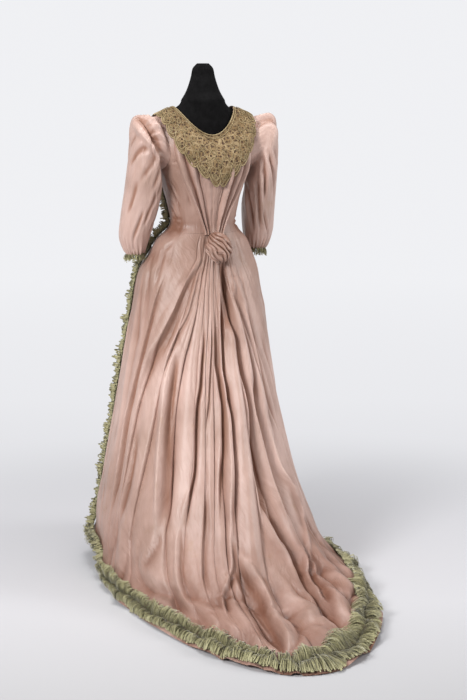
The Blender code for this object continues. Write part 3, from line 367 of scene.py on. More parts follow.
# Folds left to noise: the height in metres, the scales that x and y are read at across the noise and
# down it, and a seed. A height below zero makes thin winding wrinkles.
PANEL_CRUMPLES = (
    (0.0006, 45, 0, 0, 30, 0),
    (0.0010, 20, 9, 0, 13, 1),
)
BODICE_WRINKLES = ((-0.0016, 14, -10, 6, 9, 4),)
SKIRT_WAVES = (
    (0.0065, 1 / 7.5, 0, 0, 0.22, 2),
    (0.0024, 1 / 3.1, 0, 0, 0.50, 3),
    (-0.0022, 1 / 9.0, 0, 0, 0.25, 5),
)
TRAIN_WRINKLES = (
    (0.0030, 1.3, 0, 0, 0.23, 11),
    (0.0010, 4.1, 0, 0, 0.45, 12),
    (-0.0026, 0.9, 0.16, 0, 0.17, 13),
    (-0.0016, 2.3, -0.22, 0, 0.30, 17),
)
KNOT_GATHERS = (
    (0.0026, 1.7, 0, 0, 0.35, 14),
    (-0.0050, 1.3, 0.3, 0, 0.50, 18),
)
FLOOR_CRUMPLES = (
    (0.012, 11, 0, 0, 8, 15),
    (0.007, 25, 0, 0, 19, 16),
    (-0.015, 9, 5, -4, 6, 19),
)

# Room: the backdrop's colour, the lamps and the camera. LAMPS are discs that all face LAMP_AIM, and
# NEARER points level towards the camera. The focal length is in heights of the picture.
BACKDROP = (0.870, 0.875, 0.900)
ROOM_LIGHT = 0.40
# The floor fades into a painted glow away from FLOOR_MIDDLE and is painted darker towards the camera along
# NEARER.
FLOOR_MIDDLE = (0.0, 0.35, 0.0)
NEARER = (0.423, 0.906, 0.0)
LAMP_AIM = (0.0, 0.2, 0.85)
LAMPS = (
    ("key", (3.6, 2.2, 2.8), 1.5, 185.0),
    ("fill", (-3.6, 2.4, 2.4), 2.0, 98.0),
    ("top", (0.2, 0.4, 4.2), 2.0, 75.0),
)
CAMERA = {
    "turn_deg": 25.0,
    "pitch_deg": 10.15,
    "distance": 4.5,
    "aside": -0.095,
    "height": 1.5,
    "sensor_mm": 36.0,
    "focal_length": 1450.0 / 700.0,
}


def smooth(places, values, at):
    """Values read at places by a cubic through the table's points that never swings past them."""
    x, y, at = np.asarray(places, float), np.asarray(values, float), np.asarray(at, float)
    step = np.diff(x)
    rise = np.diff(y) / step
    slope = np.empty_like(y)
    slope[0], slope[-1] = rise[0], rise[-1]
    mean = (rise[:-1] * step[1:] + rise[1:] * step[:-1]) / (step[1:] + step[:-1])
    limit = 2.0 * np.minimum(np.abs(rise[:-1]), np.abs(rise[1:]))
    level = rise[:-1] * rise[1:] <= 0
    slope[1:-1] = np.where(level, 0.0, np.sign(mean) * np.minimum(np.abs(mean), limit))
    piece = np.clip(np.searchsorted(x, at) - 1, 0, len(step) - 1)
    width = step[piece]
    f = np.clip((at - x[piece]) / width, 0.0, 1.0)
    keep = 2 * f**3 - 3 * f**2 + 1
    return (
        keep * y[piece]
        + (1 - keep) * y[piece + 1]
        + (f**3 - 2 * f**2 + f) * width * slope[piece]
        + (f**3 - f**2) * width * slope[piece + 1]
    )


def column(table, names, name):
    """One named column of a table."""
    return [row[names.index(name)] for row in table]


def read_between(table, names, place, name, at):
    """A named column of a table, read at places between its rows."""
    return smooth(column(table, names, place), column(table, names, name), at)


def section(name, level):
    """A column of the section table at any level."""
    return smooth(range(len(SECTIONS)), column(SECTIONS, SECTION_COLUMNS, name), level)


def ease(value, low, high):
    """0 below low, 1 above high and a smooth step between them."""
    f = np.clip((np.asarray(value, float) - low) / (high - low), 0.0, 1.0)
    return f * f * (3 - 2 * f)


def unit(vectors):
    """The same directions at length 1."""
    return vectors / np.maximum(np.linalg.norm(vectors, axis=-1, keepdims=True), 1e-12)


def length_along(points):
    """The length of a line of points up to each of them."""
    return np.concatenate([[0.0], np.cumsum(np.linalg.norm(np.diff(points, axis=0), axis=1))])


def cloud(x, y, seed):
    """Smooth noise from -1 to 1: random values at whole x and y, eased in between."""
    table = np.random.default_rng(seed).uniform(-1.0, 1.0, (61, 67))
    x, y = np.broadcast_arrays(np.asarray(x, float), np.asarray(y, float))
    i, j = np.floor(x).astype(int), np.floor(y).astype(int)
    f, g = ease(x - i, 0, 1), ease(y - j, 0, 1)
    here = table[i % 61, j % 67] * (1 - f) + table[(i + 1) % 61, j % 67] * f
    above = table[i % 61, (j + 1) % 67] * (1 - f) + table[(i + 1) % 61, (j + 1) % 67] * f
    return here * (1 - g) + above * g


def shell_point(angle, level):
    """A point of the gown's shell with no folds: half an ellipse in front and half behind."""
    angle, level = np.broadcast_arrays(np.asarray(angle, float), np.asarray(level, float))
    turn = np.radians(angle)
    sine, cosine = np.sin(turn), np.cos(turn)
    ahead = cosine > 0
    back = section("back", level)
    reach = np.where(ahead, section("front", level), back)
    end_z = np.where(ahead, section("z_front", level), section("z_back", level))
    y = -reach * cosine
    behind = np.where(ahead, 0.0, y / back)
    around = 180.0 - np.abs(180.0 - np.mod(angle, 360.0))
    away = (around - 84.0) / np.where(around < 84.0, 30.0, 14.0)
    side = section("side", level) * (1 - section("narrow", level) * np.exp(-(away**2)))
    x = side * sine + section("lean", level) + section("sweep", level) * behind**2
    z = section("z_side", level) * sine**2 + end_z * cosine**2
    z = z + section("lift", level) * (1 - ease(around, 74.0, 96.0))
    return np.stack([x, y, z], axis=-1)


def shell_normal(angle, level):
    """The outward direction of the shell, from neighbouring points."""
    angle, level = np.broadcast_arrays(np.asarray(angle, float), np.asarray(level, float))
    along = shell_point(angle + 0.5, level) - shell_point(angle - 0.5, level)
    above = shell_point(angle, np.maximum(level - 0.05, 0.0))
    below = shell_point(angle, np.minimum(level + 0.05, HEM))
    return unit(np.cross(along, above - below))


def between_valleys(names, stations, across, level):
    """Columns of the valley table at the valleys on either side of each point.

    The columns are values at the stations, and are read between them at the point's level. The
    third thing returned is the point's share of the way from one valley to the next.
    """
    columns = np.array([column(VALLEYS, VALLEY_COLUMNS, name) for name in names]).T
    values = np.stack([smooth(stations, row, level) for row in columns])
    number = np.clip(np.floor(across).astype(int), 0, SPACES - 1)
    here = np.take_along_axis(values, number[None], 0)[0]
    following = np.take_along_axis(values, number[None] + 1, 0)[0]
    return here, following, across - number


def train_angle(across, level):
    """The angle of a point of the train. across counts the valleys from the left seam."""
    across, level = np.broadcast_arrays(np.asarray(across, float), np.asarray(level, float))
    names = ("hip", "thigh", "mid_thigh", "below_knee", "mid_calf", "ankle")
    here, following, share = between_valleys(names, [LEVEL[name] for name in names], across, level)
    place = here * (1 - share) + following * share
    return 180.0 - place * (180.0 - section("back_seam", level))


def train_depths(across, level):
    """The depths of the valleys on either side of a point, and its share of the way over."""
    stations = (LEVEL["hip"] + 0.5, LEVEL["knee"], LEVEL["ankle"])
    return between_valleys(("top", "middle", "low"), stations, across, level)


def train_rise(across, level):
    """How far the train's folds stand out from the shell, as a row of lapped pleats.

    share runs from one valley, 0, to the next, 1. The cloth climbs slowly out of the first valley
    to a crest near the next and then drops into it. The depths open and close along each valley.
    Towards the floor a round swell takes over half of this.
    """
    here, following, share = train_depths(across, level)
    number = np.floor(across)
    gentle = 0.55 + 0.45 * ease(level, 10.0, 13.0)
    here, following = (
        depth * gentle * (0.60 + 0.50 * cloud(valley * 7.3, level * 0.42, 5))
        for depth, valley in ((here, number), (following, number + 1))
    )
    climb = CREST * following * ease(share, 0.12, 0.84)
    trough = TROUGH * here * np.clip(1 - share / 0.60, 0.0, 1.0) ** 1.6
    drop = (CREST + TROUGH) * following * ease(share, 0.905, 1.0)
    lapped = climb - trough - drop
    swell = RIDGE_SHARE + 0.5 * ease(level, LEVEL["lower_calf"], LEVEL["instep"])
    near = np.clip(1 - share / VALLEY_REACH, 0.0, 1.0) ** 2
    far = np.clip(1 - (1 - share) / VALLEY_REACH, 0.0, 1.0) ** 2
    round_fold = swell * 0.5 * (here + following) * np.sin(np.pi * share) ** 2
    round_fold = round_fold - (1 - RIDGE_SHARE) * (here * near + following * far)
    mix = 0.55 * ease(level, LEVEL["calf"], LEVEL["ankle"])
    begin = ease(level, KNOT_LEVEL, KNOT_LEVEL + 1.2)
    end = 1 - 0.45 * ease(level, LEVEL["instep"], HEM)
    return (lapped * (1 - mix) + round_fold * mix) * begin * end


def off_seams(across, reach):
    """0 on the train's two side seams and 1 where both are further away than reach."""
    return ease(across, 0.0, reach) * ease(SPACES - across, 0.0, reach)


def train_folds(across, level):
    """The placed folds: a hollow that is steep on one side and fades on the other, and its lip.

    Returns their height and how dark their painted shade is.
    """
    step = 0.05
    beside, before = (
        shell_point(train_angle(np.clip(across + way, 0, SPACES), level), level) for way in (step, -step)
    )
    metres = np.linalg.norm(beside - before, axis=-1) / (2 * step)
    total, tone = np.zeros(across.shape), np.zeros(across.shape)
    for path, width, depth, lip in TRAIN_FOLDS:
        places, levels = [point[0] for point in path], [point[1] for point in path]
        off = (across - smooth(levels, places, level)) * metres * np.sign(width)
        steep, slow = 0.30 * abs(width), abs(width)
        if depth < 0:
            steep = slow
        hollow = np.exp(-((off / np.where(off < 0, steep, slow)) ** 2))
        beam = np.exp(-(((off + 0.75 * abs(width)) / (0.5 * abs(width))) ** 2))
        length = levels[-1] - levels[0]
        ends = ease(level, levels[0], levels[0] + 0.3 * length)
        ends = ends * (1 - ease(level, levels[-1] - 0.25 * length, levels[-1]))
        total += (1.5 * lip * beam - depth * hollow) * ends
        # Painted shade in each fold: darker the deeper the fold, centred a little past its deepest line.
        dark = np.exp(-(((off - 0.25 * slow) / (0.8 * slow)) ** 2))
        tone = np.maximum(tone, min(max(depth, 0.0) / DARKEST_DEPTH, 1.0) * dark * ends)
    return total * off_seams(across, 0.06), tone


def wrinkles(x, y, seed):
    """Thin winding lines, 1 on a line and 0 between them: where smooth noise crosses zero."""
    return (1 - np.abs(cloud(x, y, seed))) ** 6


def noise_folds(table, x, y, seed=0):
    """The sum of a table's noises, each read at mixes of x and y and times its height.

    A height below zero takes thin wrinkles, which then lie under the cloth around them.
    """
    total = 0.0
    for height, over_x, over_y, down_x, down_y, number in table:
        kind = cloud if height > 0 else wrinkles
        total = total + height * kind(x * over_x + y * over_y, x * down_x + y * down_y, seed + number)
    return total


def creases(table, x, y):
    """Soft troughs, in metres on the cloth: each runs from one point to another, bowed to a side.

    A trough is a bell across its width with a low lip on either side, times a taper to nothing at
    both ends. A depth below zero makes a ridge.
    """
    total = np.zeros(np.broadcast(x, y).shape)
    for row in table:
        crease = dict(zip(CREASE_COLUMNS, row))
        over, down = crease["x_to"] - crease["x_from"], crease["y_to"] - crease["y_from"]
        length = math.hypot(over, down)
        share = ((x - crease["x_from"]) * over + (y - crease["y_from"]) * down) / length**2
        off = ((x - crease["x_from"]) * down - (y - crease["y_from"]) * over) / length
        away = (off - crease["bow"] * np.sin(np.pi * np.clip(share, 0, 1))) / crease["width"]
        bell = np.exp(-(away**2)) - 0.32 * np.exp(-(((np.abs(away) - 1.9) / 0.8) ** 2))
        total -= crease["depth"] * bell * ease(share, 0, 0.35) * (1 - ease(share, 0.65, 1))
    return total


def grid_normals(points, ring=False):
    """The outward direction at each point of a grid, from its neighbours in the grid."""
    down = np.gradient(points, axis=0)
    if ring:
        across = (np.roll(points, -1, axis=1) - np.roll(points, 1, axis=1)) / 2
    else:
        across = np.gradient(points, axis=1)
    return unit(np.cross(down, across))


def cloth_measure(grid):
    """Lengths on the cloth in metres: along each row and down each column, as a UV grid."""
    across = np.zeros(grid.shape[:2])
    down = np.zeros(grid.shape[:2])
    across[:, 1:] = np.cumsum(np.linalg.norm(np.diff(grid, axis=1), axis=-1), axis=1)
    down[1:] = np.cumsum(np.linalg.norm(np.diff(grid, axis=0), axis=-1), axis=0)
    across -= across[:, -1:] / 2
    return np.stack([across, down], axis=-1)


def hollowness(grid, normals, ring=False, passes=14, deep=0.005):
    """-1 on ridges to 1 in folds: how far a point lies under the average of those around it."""
    level = grid.copy()
    for _ in range(passes):
        if ring:
            level = (np.roll(level, 1, axis=1) + np.roll(level, -1, axis=1)) / 2
        else:
            level[:, 1:-1] = (level[:, :-2] + level[:, 2:]) / 2
        level[1:-1] = (level[:-2] + level[2:]) / 2
    return np.clip(((level - grid) * normals).sum(-1) / deep, -1.0, 1.0)


def hold(name, data):
    """An object in the scene that holds a mesh, lamp or camera."""
    holder = bpy.data.objects.new(name, data)
    bpy.context.scene.collection.objects.link(holder)
    return holder


def make_mesh(name, points, faces, material, uv=None, attributes=None):
    """A piece from arrays of points and of four-cornered or three-cornered faces."""
    mesh = bpy.data.meshes.new(name)
    corners = faces.shape[1]
    mesh.vertices.add(len(points))
    mesh.vertices.foreach_set("co", np.ascontiguousarray(points, np.float32).ravel())
    mesh.loops.add(faces.size)
    mesh.loops.foreach_set("vertex_index", faces.ravel().astype(np.int32))
    mesh.polygons.add(len(faces))
    mesh.polygons.foreach_set("loop_start", np.arange(0, faces.size, corners, dtype=np.int32))
    mesh.update(calc_edges=True)
    mesh.shade_smooth()
    if uv is not None:
        layer = mesh.uv_layers.new(name="cloth")
        layer.data.foreach_set("uv", uv[faces.ravel()].astype(np.float32).ravel())
    for key, values in (attributes or {}).items():
        data = mesh.attributes.new(key, "FLOAT", "POINT")
        data.data.foreach_set("value", np.ascontiguousarray(values, np.float32).ravel())
    mesh.materials.append(material)
    piece = hold(name, mesh)
    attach(piece, "root")
    return piece


def grid_faces(rows, columns, ring=False, start=0):
    """Faces of a grid of points whose rows run down and columns to the right, seen from outside."""
    r = np.arange(rows - 1)[:, None]
    c = np.arange(columns if ring else columns - 1)[None, :]
    following = (c + 1) % columns
    corners = (
        r * columns + c,
        (r + 1) * columns + c,
        (r + 1) * columns + following,
        r * columns + following,
    )
    return np.stack(np.broadcast_arrays(*corners), axis=-1).reshape(-1, 4) + start


def cloth(name, grid, material, ring=False, turned=("top", "bottom", "sides"), shade=None):
    """A thin shell of cloth from a grid, its raw edges turned under by a few columns or rows."""
    normals = grid_normals(grid, ring)
    inside = grid - normals * TURNING
    uv = cloth_measure(grid)
    # Painted shade: each point carries a hollow value, the cloth's own hollowness unless a shade is given,
    # which the material paints as shade.
    hollow = hollowness(grid, normals, ring) if shade is None else np.clip(shade, -1, 1)
    rows, columns = list(range(len(grid))), list(range(grid.shape[1]))
    row_in, column_in = [False] * len(rows), [False] * len(columns)
    if "top" in turned:
        rows, row_in = [3, 1, *rows], [True, True, *row_in]
    if "bottom" in turned:
        rows, row_in = [*rows, len(grid) - 2, len(grid) - 4], [*row_in, True, True]
    if "sides" in turned and not ring:
        last = grid.shape[1]
        columns, column_in = [2, 1, *columns, last - 2, last - 3], [True, True, *column_in, True, True]
    pick = np.ix_(rows, columns)
    on_edge = np.zeros(grid.shape[:2], bool)
    on_edge[0] = on_edge[-1] = True
    if not ring:
        on_edge[:, 0] = on_edge[:, -1] = True
    under = (np.array(row_in)[:, None] | np.array(column_in)[None, :])[..., None]
    points = np.where(under, inside[pick], grid[pick])
    faces = grid_faces(len(rows), len(columns), ring)
    piece = make_mesh(
        name,
        points.reshape(-1, 3),
        faces,
        material,
        uv=uv[pick].reshape(-1, 2),
        attributes={"hollow": hollow[pick].reshape(-1)},
    )
    folded = (on_edge[pick] & ~under[..., 0]).reshape(-1)
    ends = np.empty(len(piece.data.edges) * 2, np.int32)
    piece.data.edges.foreach_get("vertices", ends)
    crisp = piece.data.attributes.new("sharp_edge", "BOOLEAN", "EDGE")
    crisp.data.foreach_set("value", folded[ends].reshape(-1, 2).all(axis=1))
    return piece


def closed_rings(name, rings, material, attributes=None):
    """A closed solid from rings of points one below the other, with a point at each pole."""
    count, around = rings.shape[:2]
    points = np.concatenate([rings.reshape(-1, 3), [rings[0].mean(0)], [rings[-1].mean(0)]])
    quads = grid_faces(count, around, ring=True)
    here = np.arange(around)
    there = (here + 1) % around
    top = np.stack([np.full(around, count * around), here, there], axis=-1)
    low = (count - 1) * around
    bottom = np.stack([np.full(around, count * around + 1), low + there, low + here], axis=-1)
    halves = np.concatenate([quads[:, [0, 1, 2]], quads[:, [0, 2, 3]], top, bottom])
    if attributes:
        attributes = {
            key: np.concatenate([v.reshape(-1), [v[0].mean()], [v[-1].mean()]])
            for key, v in attributes.items()
        }
    return make_mesh(name, points, halves, material, attributes=attributes)


def ribbons(paths, normals, half_wide, half_thick):
    """Flat tapes: a lens of four points carried along each path, square to it and to the cloth.

    paths holds one path a row, so its shape is (tapes, points, 3). Returns points and faces.
    """
    along = unit(np.gradient(paths, axis=1))
    side = unit(np.cross(normals, along))
    corners = np.stack(
        [
            paths + side * half_wide,
            paths + normals * half_thick,
            paths - side * half_wide,
            paths - normals * half_thick,
        ],
        axis=2,
    )
    tapes, steps = paths.shape[:2]
    one = grid_faces(steps, 4, ring=True)
    ends = np.array([[0, 1, 2, 3], [(steps - 1) * 4 + k for k in (3, 2, 1, 0)]])
    one = np.concatenate([one, ends])
    shift = np.arange(tapes)[:, None, None] * steps * 4
    return corners.reshape(-1, 3), (one[None] + shift).reshape(-1, 4)


def add_node(tree, kind, inputs=None, **settings):
    """A node of a material. Each input is a value or the socket of another node."""
    node = tree.nodes.new(kind)
    for name, value in settings.items():
        setattr(node, name, value)
    for name, value in (inputs or {}).items():
        if isinstance(value, bpy.types.NodeSocket):
            tree.links.new(value, node.inputs[name])
        else:
            node.inputs[name].default_value = value
    return node


def noise(tree, vector, scale, detail=3.0, roughness=0.55):
    """Cloudy noise, mostly from 0.3 to 0.7, finer at a greater scale."""
    inputs = {"Vector": vector, "Scale": scale, "Detail": detail, "Roughness": roughness}
    return add_node(tree, "ShaderNodeTexNoise", inputs).outputs["Fac"]


def specks(tree, vector, scale, detail, gain):
    """Noise about 0, times a gain."""
    return figure(tree, "MULTIPLY", figure(tree, "SUBTRACT", noise(tree, vector, scale, detail), 0.5), gain)


def bands(tree, vector, scale, direction, distortion, detail=2.0):
    """Even bands across one direction, from 0 to 1 and back."""
    inputs = {"Vector": vector, "Scale": scale, "Distortion": distortion, "Detail": detail}
    return add_node(tree, "ShaderNodeTexWave", inputs, bands_direction=direction).outputs["Fac"]


def stretched(tree, vector, scale, turned=0.0):
    """Coordinates scaled by different amounts each way, after a turn about the third."""
    inputs = {"Vector": vector, "Rotation": (0.0, 0.0, turned), "Scale": scale}
    return add_node(tree, "ShaderNodeMapping", inputs).outputs[0]


def ranged(tree, value, source, target, **settings):
    """A value carried from one range, its source, to another."""
    inputs = {"Value": value, "From Min": source[0], "From Max": source[1]}
    inputs.update({"To Min": target[0], "To Max": target[1]})
    return add_node(tree, "ShaderNodeMapRange", inputs, **settings).outputs["Result"]


def graded(tree, fac, stops):
    """Colours that change with fac: stops holds a position and a colour for each."""
    node = add_node(tree, "ShaderNodeValToRGB", {"Fac": fac})
    elements = node.color_ramp.elements
    while len(elements) < len(stops):
        elements.new(0.5)
    for element, (position, colour) in zip(elements, stops):
        element.position, element.color = position, (*colour, 1.0)
    return node.outputs["Color"]


def mixed(tree, kind, fac, first, second):
    """Two colours, the second laid on the first in one of Blender's blend modes."""
    second = (*second, 1.0) if isinstance(second, tuple) else second
    inputs = {0: fac, 6: first, 7: second}
    settings = {"data_type": "RGBA", "blend_type": kind}
    return add_node(tree, "ShaderNodeMix", inputs, **settings).outputs[2]


def figure(tree, kind, *values):
    """A sum, product or other figure of numbers and sockets."""
    node = add_node(tree, "ShaderNodeMath", dict(enumerate(values)), operation=kind)
    return node.outputs[0]


def layered(tree, *parts):
    """The sum of several patterns, each a socket and its height."""
    total = None
    for socket, height in parts:
        part = figure(tree, "MULTIPLY", socket, height)
        total = part if total is None else figure(tree, "ADD", total, part)
    return total


def new_material(name, roughness, **constants):
    """A material with its shader, its Object coordinates and the UV map that lies on the cloth."""
    material = bpy.data.materials.new(name)
    material.use_nodes = True
    tree = material.node_tree
    shader = tree.nodes["Principled BSDF"]
    shader.inputs["Roughness"].default_value = roughness
    for socket, value in constants.items():
        shader.inputs[socket.replace("_", " ")].default_value = value
    place = add_node(tree, "ShaderNodeTexCoord").outputs["Object"]
    laid = add_node(tree, "ShaderNodeUVMap", uv_map="cloth").outputs["UV"]
    return material, tree, shader, place, laid


def attribute(tree, name):
    """A value that each point of the mesh carries."""
    return add_node(tree, "ShaderNodeAttribute", attribute_name=name).outputs["Fac"]


def raise_surface(tree, shader, height, strength=0.85):
    """Bump of a height in metres."""
    inputs = {"Height": height, "Strength": strength, "Distance": 1.0}
    bump = add_node(tree, "ShaderNodeBump", inputs)
    tree.links.new(bump.outputs["Normal"], shader.inputs["Normal"])


def silk_colour(tree, place, streaks, worn):
    """The rose of the silk, faded in streaks, stained, darker near the hem, with painted shade in folds.

    worn darkens the silk above the hips, by a share from 0 to 1.
    """
    white = (1.0, 1.0, 1.0)
    pale, plain, deep = (0.600, 0.413, 0.356), (0.525, 0.350, 0.296), (0.430, 0.277, 0.224)
    colour = graded(tree, noise(tree, place, 5.0), ((0.34, deep), (0.50, plain), (0.68, pale)))
    faded = graded(tree, streaks, ((0.36, (0.84, 0.80, 0.76)), (0.62, white)))
    colour = mixed(tree, "MULTIPLY", 0.55, colour, faded)
    stains = graded(tree, noise(tree, place, 17.0, 6.0, 0.65), ((0.60, white), (0.74, (0.86, 0.78, 0.60))))
    colour = mixed(tree, "MULTIPLY", 0.5, colour, stains)
    height = add_node(tree, "ShaderNodeSeparateXYZ", {"Vector": place}).outputs["Z"]
    above = ranged(tree, height, (0.66, 0.90), (0.0, worn))
    colour = mixed(tree, "MULTIPLY", above, colour, (0.50, 0.40, 0.33))
    # Darker in patches near the hem, more so towards the floor.
    by_hem = ranged(tree, height, (0.42, 0.04), (0.0, 2.5))
    hem_patch_darkening = figure(tree, "MULTIPLY", by_hem, figure(tree, "SUBTRACT", noise(tree, place, 6.0, 4.0), 0.18))
    colour = mixed(tree, "MULTIPLY", figure(tree, "MAXIMUM", hem_patch_darkening, 0.0), colour, (0.52, 0.42, 0.37))
    # Painted shade where the hollow value is above zero, painted highlight where it is below.
    hollow = attribute(tree, "hollow")
    low = figure(tree, "MULTIPLY", figure(tree, "MAXIMUM", hollow, 0.0), 0.90)
    colour = mixed(tree, "MULTIPLY", low, colour, (0.56, 0.40, 0.30))
    high = figure(tree, "MULTIPLY", figure(tree, "MINIMUM", hollow, 0.0), -0.30)
    return mixed(tree, "SCREEN", high, colour, (0.22, 0.19, 0.17))


def rose_silk(name, pulled_across=34.0, wrinkle=0.0012, worn=0.0):
    """Pale rose silk: fine weave, soft sheen, painted shade in folds, painted highlights on ridges, faint
    stains of age.

    wrinkle is the height of its small wrinkles, which run along the cloth and stand as close as
    pulled_across says.
    """
    material, tree, shader, place, laid = new_material(
        name, 0.46, Sheen_Weight=0.10, Sheen_Roughness=0.35, Specular_IOR_Level=0.62
    )
    shader.inputs["Sheen Tint"].default_value = (0.95, 0.86, 0.80, 1.0)
    streaks = noise(tree, stretched(tree, laid, (11.0, 1.3, 1.0)), 4.0, 6.0, 0.68)
    tree.links.new(silk_colour(tree, place, streaks, worn), shader.inputs["Base Color"])
    tree.links.new(ranged(tree, streaks, (0.0, 1.0), (0.36, 0.48)), shader.inputs["Roughness"])
    bias = noise(tree, stretched(tree, laid, (75.0, 14.0, 1.0), turned=0.6), 1.0, 3.0, 0.5)
    height = layered(
        tree,
        (bands(tree, laid, 420.0, "X", 0.7, 1.0), 4e-5),
        (bands(tree, laid, 300.0, "Y", 0.7, 1.0), 4e-5),
        (noise(tree, stretched(tree, laid, (60.0, 4.0, 1.0)), 6.0), 2e-4),
        (noise(tree, place, 30.0, 4.0, 0.55), wrinkle * 1.7),
        (noise(tree, stretched(tree, laid, (pulled_across, 5.0, 1.0)), 1.6, 5.0, 0.6), wrinkle * 2.4),
        (figure(tree, "ABSOLUTE", figure(tree, "SUBTRACT", bias, 0.5)), wrinkle * 1.3),
    )
    raise_surface(tree, shader, height)
    return material


def green_silk(name):
    """Sage silk of the ruches: painted shade between the pleats, painted light up to the pinked, frayed
    tips.
    """
    material, tree, shader, place, laid = new_material(
        name, 0.62, Sheen_Weight=0.5, Sheen_Roughness=0.5, Specular_IOR_Level=0.3
    )
    tone = layered(
        tree,
        (attribute(tree, "shade"), 1.0),
        (specks(tree, stretched(tree, laid, (1500.0, 60.0, 1.0)), 1.0, 3.0, 0.9), 1.0),
        (specks(tree, place, 60.0, 4.0, 0.7), 1.0),
        (specks(tree, place, 420.0, 3.0, 0.8), 1.0),
    )
    colours = (
        (0.05, (0.036, 0.032, 0.010)),
        (0.32, (0.112, 0.098, 0.040)),
        (0.60, (0.235, 0.216, 0.100)),
        (0.92, (0.370, 0.345, 0.190)),
    )
    tree.links.new(graded(tree, tone, colours), shader.inputs["Base Color"])
    raise_surface(tree, shader, layered(tree, (noise(tree, place, 900.0, 3.0), 3e-4)))
    return material


def gold_lace(name):
    """Cotton lace, tan with age: motifs bound by raised cords, joined by a net whose holes are painted a
    dark shadow and partly see-through.
    """
    material, tree, shader, place, laid = new_material(name, 0.85, Specular_IOR_Level=0.2)
    black, white = (0.0, 0.0, 0.0), (1.0, 1.0, 1.0)
    to_middle, to_edge = (
        add_node(
            tree,
            "ShaderNodeTexVoronoi",
            {"Vector": place, "Scale": scale, "Randomness": 0.8},
            feature=feature,
        ).outputs["Distance"]
        for feature, scale in (("F1", 122.0), ("DISTANCE_TO_EDGE", 46.0))
    )
    net = graded(tree, to_middle, ((0.34, black), (0.44, white)))
    cord = graded(tree, to_edge, ((0.05, white), (0.09, black)))
    leaf = graded(tree, to_edge, ((0.40, black), (0.44, white)))
    thread = figure(tree, "MAXIMUM", net, figure(tree, "MAXIMUM", cord, leaf))
    tans = ((0.36, (0.160, 0.104, 0.048)), (0.52, (0.238, 0.160, 0.080)), (0.68, (0.320, 0.226, 0.120)))
    colour = graded(tree, noise(tree, place, 22.0, 5.0, 0.6), tans)
    # Painted shadow in the net's holes: dark brown wherever there is no thread.
    colour = mixed(tree, "MIX", figure(tree, "SUBTRACT", 1.0, thread), colour, (0.085, 0.048, 0.028))
    colour = mixed(tree, "SCREEN", figure(tree, "MULTIPLY", cord, 0.16), colour, (0.50, 0.42, 0.27))
    # The collar's hollow value darkens the lace towards the neck and in cloudy patches.
    shade = figure(tree, "MULTIPLY", attribute(tree, "hollow"), 0.65)
    colour = mixed(tree, "MULTIPLY", shade, colour, (0.46, 0.40, 0.32))
    tree.links.new(colour, shader.inputs["Base Color"])
    tree.links.new(figure(tree, "MAXIMUM", thread, 0.55), shader.inputs["Alpha"])
    fuzz = noise(tree, laid, 700.0)
    raise_surface(tree, shader, layered(tree, (net, 6e-4), (cord, 1.6e-3), (leaf, 9e-4), (fuzz, 3e-4)))
    return material


def lace_tape(name):
    """Woven tape and cord of the lace: the same cotton, close and matt."""
    material, tree, shader, place, _ = new_material(name, 0.82, Specular_IOR_Level=0.25)
    tans = ((0.34, (0.215, 0.158, 0.080)), (0.55, (0.320, 0.242, 0.132)), (0.72, (0.420, 0.330, 0.200)))
    tree.links.new(graded(tree, noise(tree, place, 30.0, 5.0), tans), shader.inputs["Base Color"])
    raise_surface(tree, shader, layered(tree, (noise(tree, place, 1100.0, 2.0), 4e-4)))
    return material


def black_jersey(name):
    """The form's cover: black cotton jersey, a little dusty, with a faint knit."""
    material, tree, shader, place, _ = new_material(
        name, 0.90, Sheen_Weight=0.0, Sheen_Roughness=0.4, Specular_IOR_Level=0.08
    )
    dust = noise(tree, place, 40.0, 6.0, 0.7)
    colour = graded(tree, dust, ((0.40, (0.0035, 0.0033, 0.0035)), (0.75, (0.0085, 0.0080, 0.0085))))
    tree.links.new(colour, shader.inputs["Base Color"])
    knit = bands(tree, place, 260.0, "Z", 1.0)
    raise_surface(tree, shader, layered(tree, (knit, 1.2e-4), (noise(tree, place, 300.0), 2e-4)))
    return material


def painted_steel(name):
    """The stand's grey enamel, worn paler at random spots."""
    material, tree, shader, place, _ = new_material(name, 0.38, Metallic=0.6)
    worn = noise(tree, place, 55.0, 6.0, 0.7)
    colour = graded(tree, worn, ((0.45, (0.30, 0.30, 0.31)), (0.72, (0.46, 0.46, 0.46))))
    tree.links.new(colour, shader.inputs["Base Color"])
    raise_surface(tree, shader, layered(tree, (noise(tree, place, 180.0), 1.5e-4)))
    return material


def rows_by_length(angle, first, last, count):
    """Levels from first to last whose points on the shell, at one angle, lie evenly apart."""
    fine = np.linspace(first, last, 1200)
    length = length_along(shell_point(angle, fine))
    return np.interp(np.linspace(0.0, length[-1], count), length, fine)


def armhole_half(level):
    """Half of the armhole's width, in degrees, at a level: a rounded opening."""
    middle, reach = (SHOULDER + UNDERARM) / 2, (UNDERARM - SHOULDER) / 2
    inside = np.clip(1 - ((level - middle) / reach) ** 2, 0.0, 1.0)
    return ARMHOLE_HALF_DEG * np.sqrt(inside)


def seam_angles(name, levels):
    """The angle of a lengthwise seam. The side seam parts into the two edges of the armhole."""
    if name == "armhole_front":
        return section("side_seam", levels) - armhole_half(levels)
    if name == "armhole_back":
        return section("side_seam", levels) + armhole_half(levels)
    return section(name, levels)


def flat_place(angle, level):
    """Where a point of the shell lies on its cloth: metres round from centre back, and height."""
    return np.radians(180.0 - angle) * section("side", level), section("z_side", level)


def panel_rise(angle, level, seed):
    """The folds of the panels: fine ones from noise, placed creases, and long waves in the skirt."""
    x, z = flat_place(angle, level)
    skirt = ease(level, KNOT_LEVEL, LEVEL["upper_skirt"])
    rise = noise_folds(PANEL_CRUMPLES, x, z, seed) + creases(BODICE_CREASES, x, z)
    rise += noise_folds(BODICE_WRINKLES, x, z, seed) * (1 - skirt)
    return rise + noise_folds(SKIRT_WAVES, angle, level, seed) * skirt


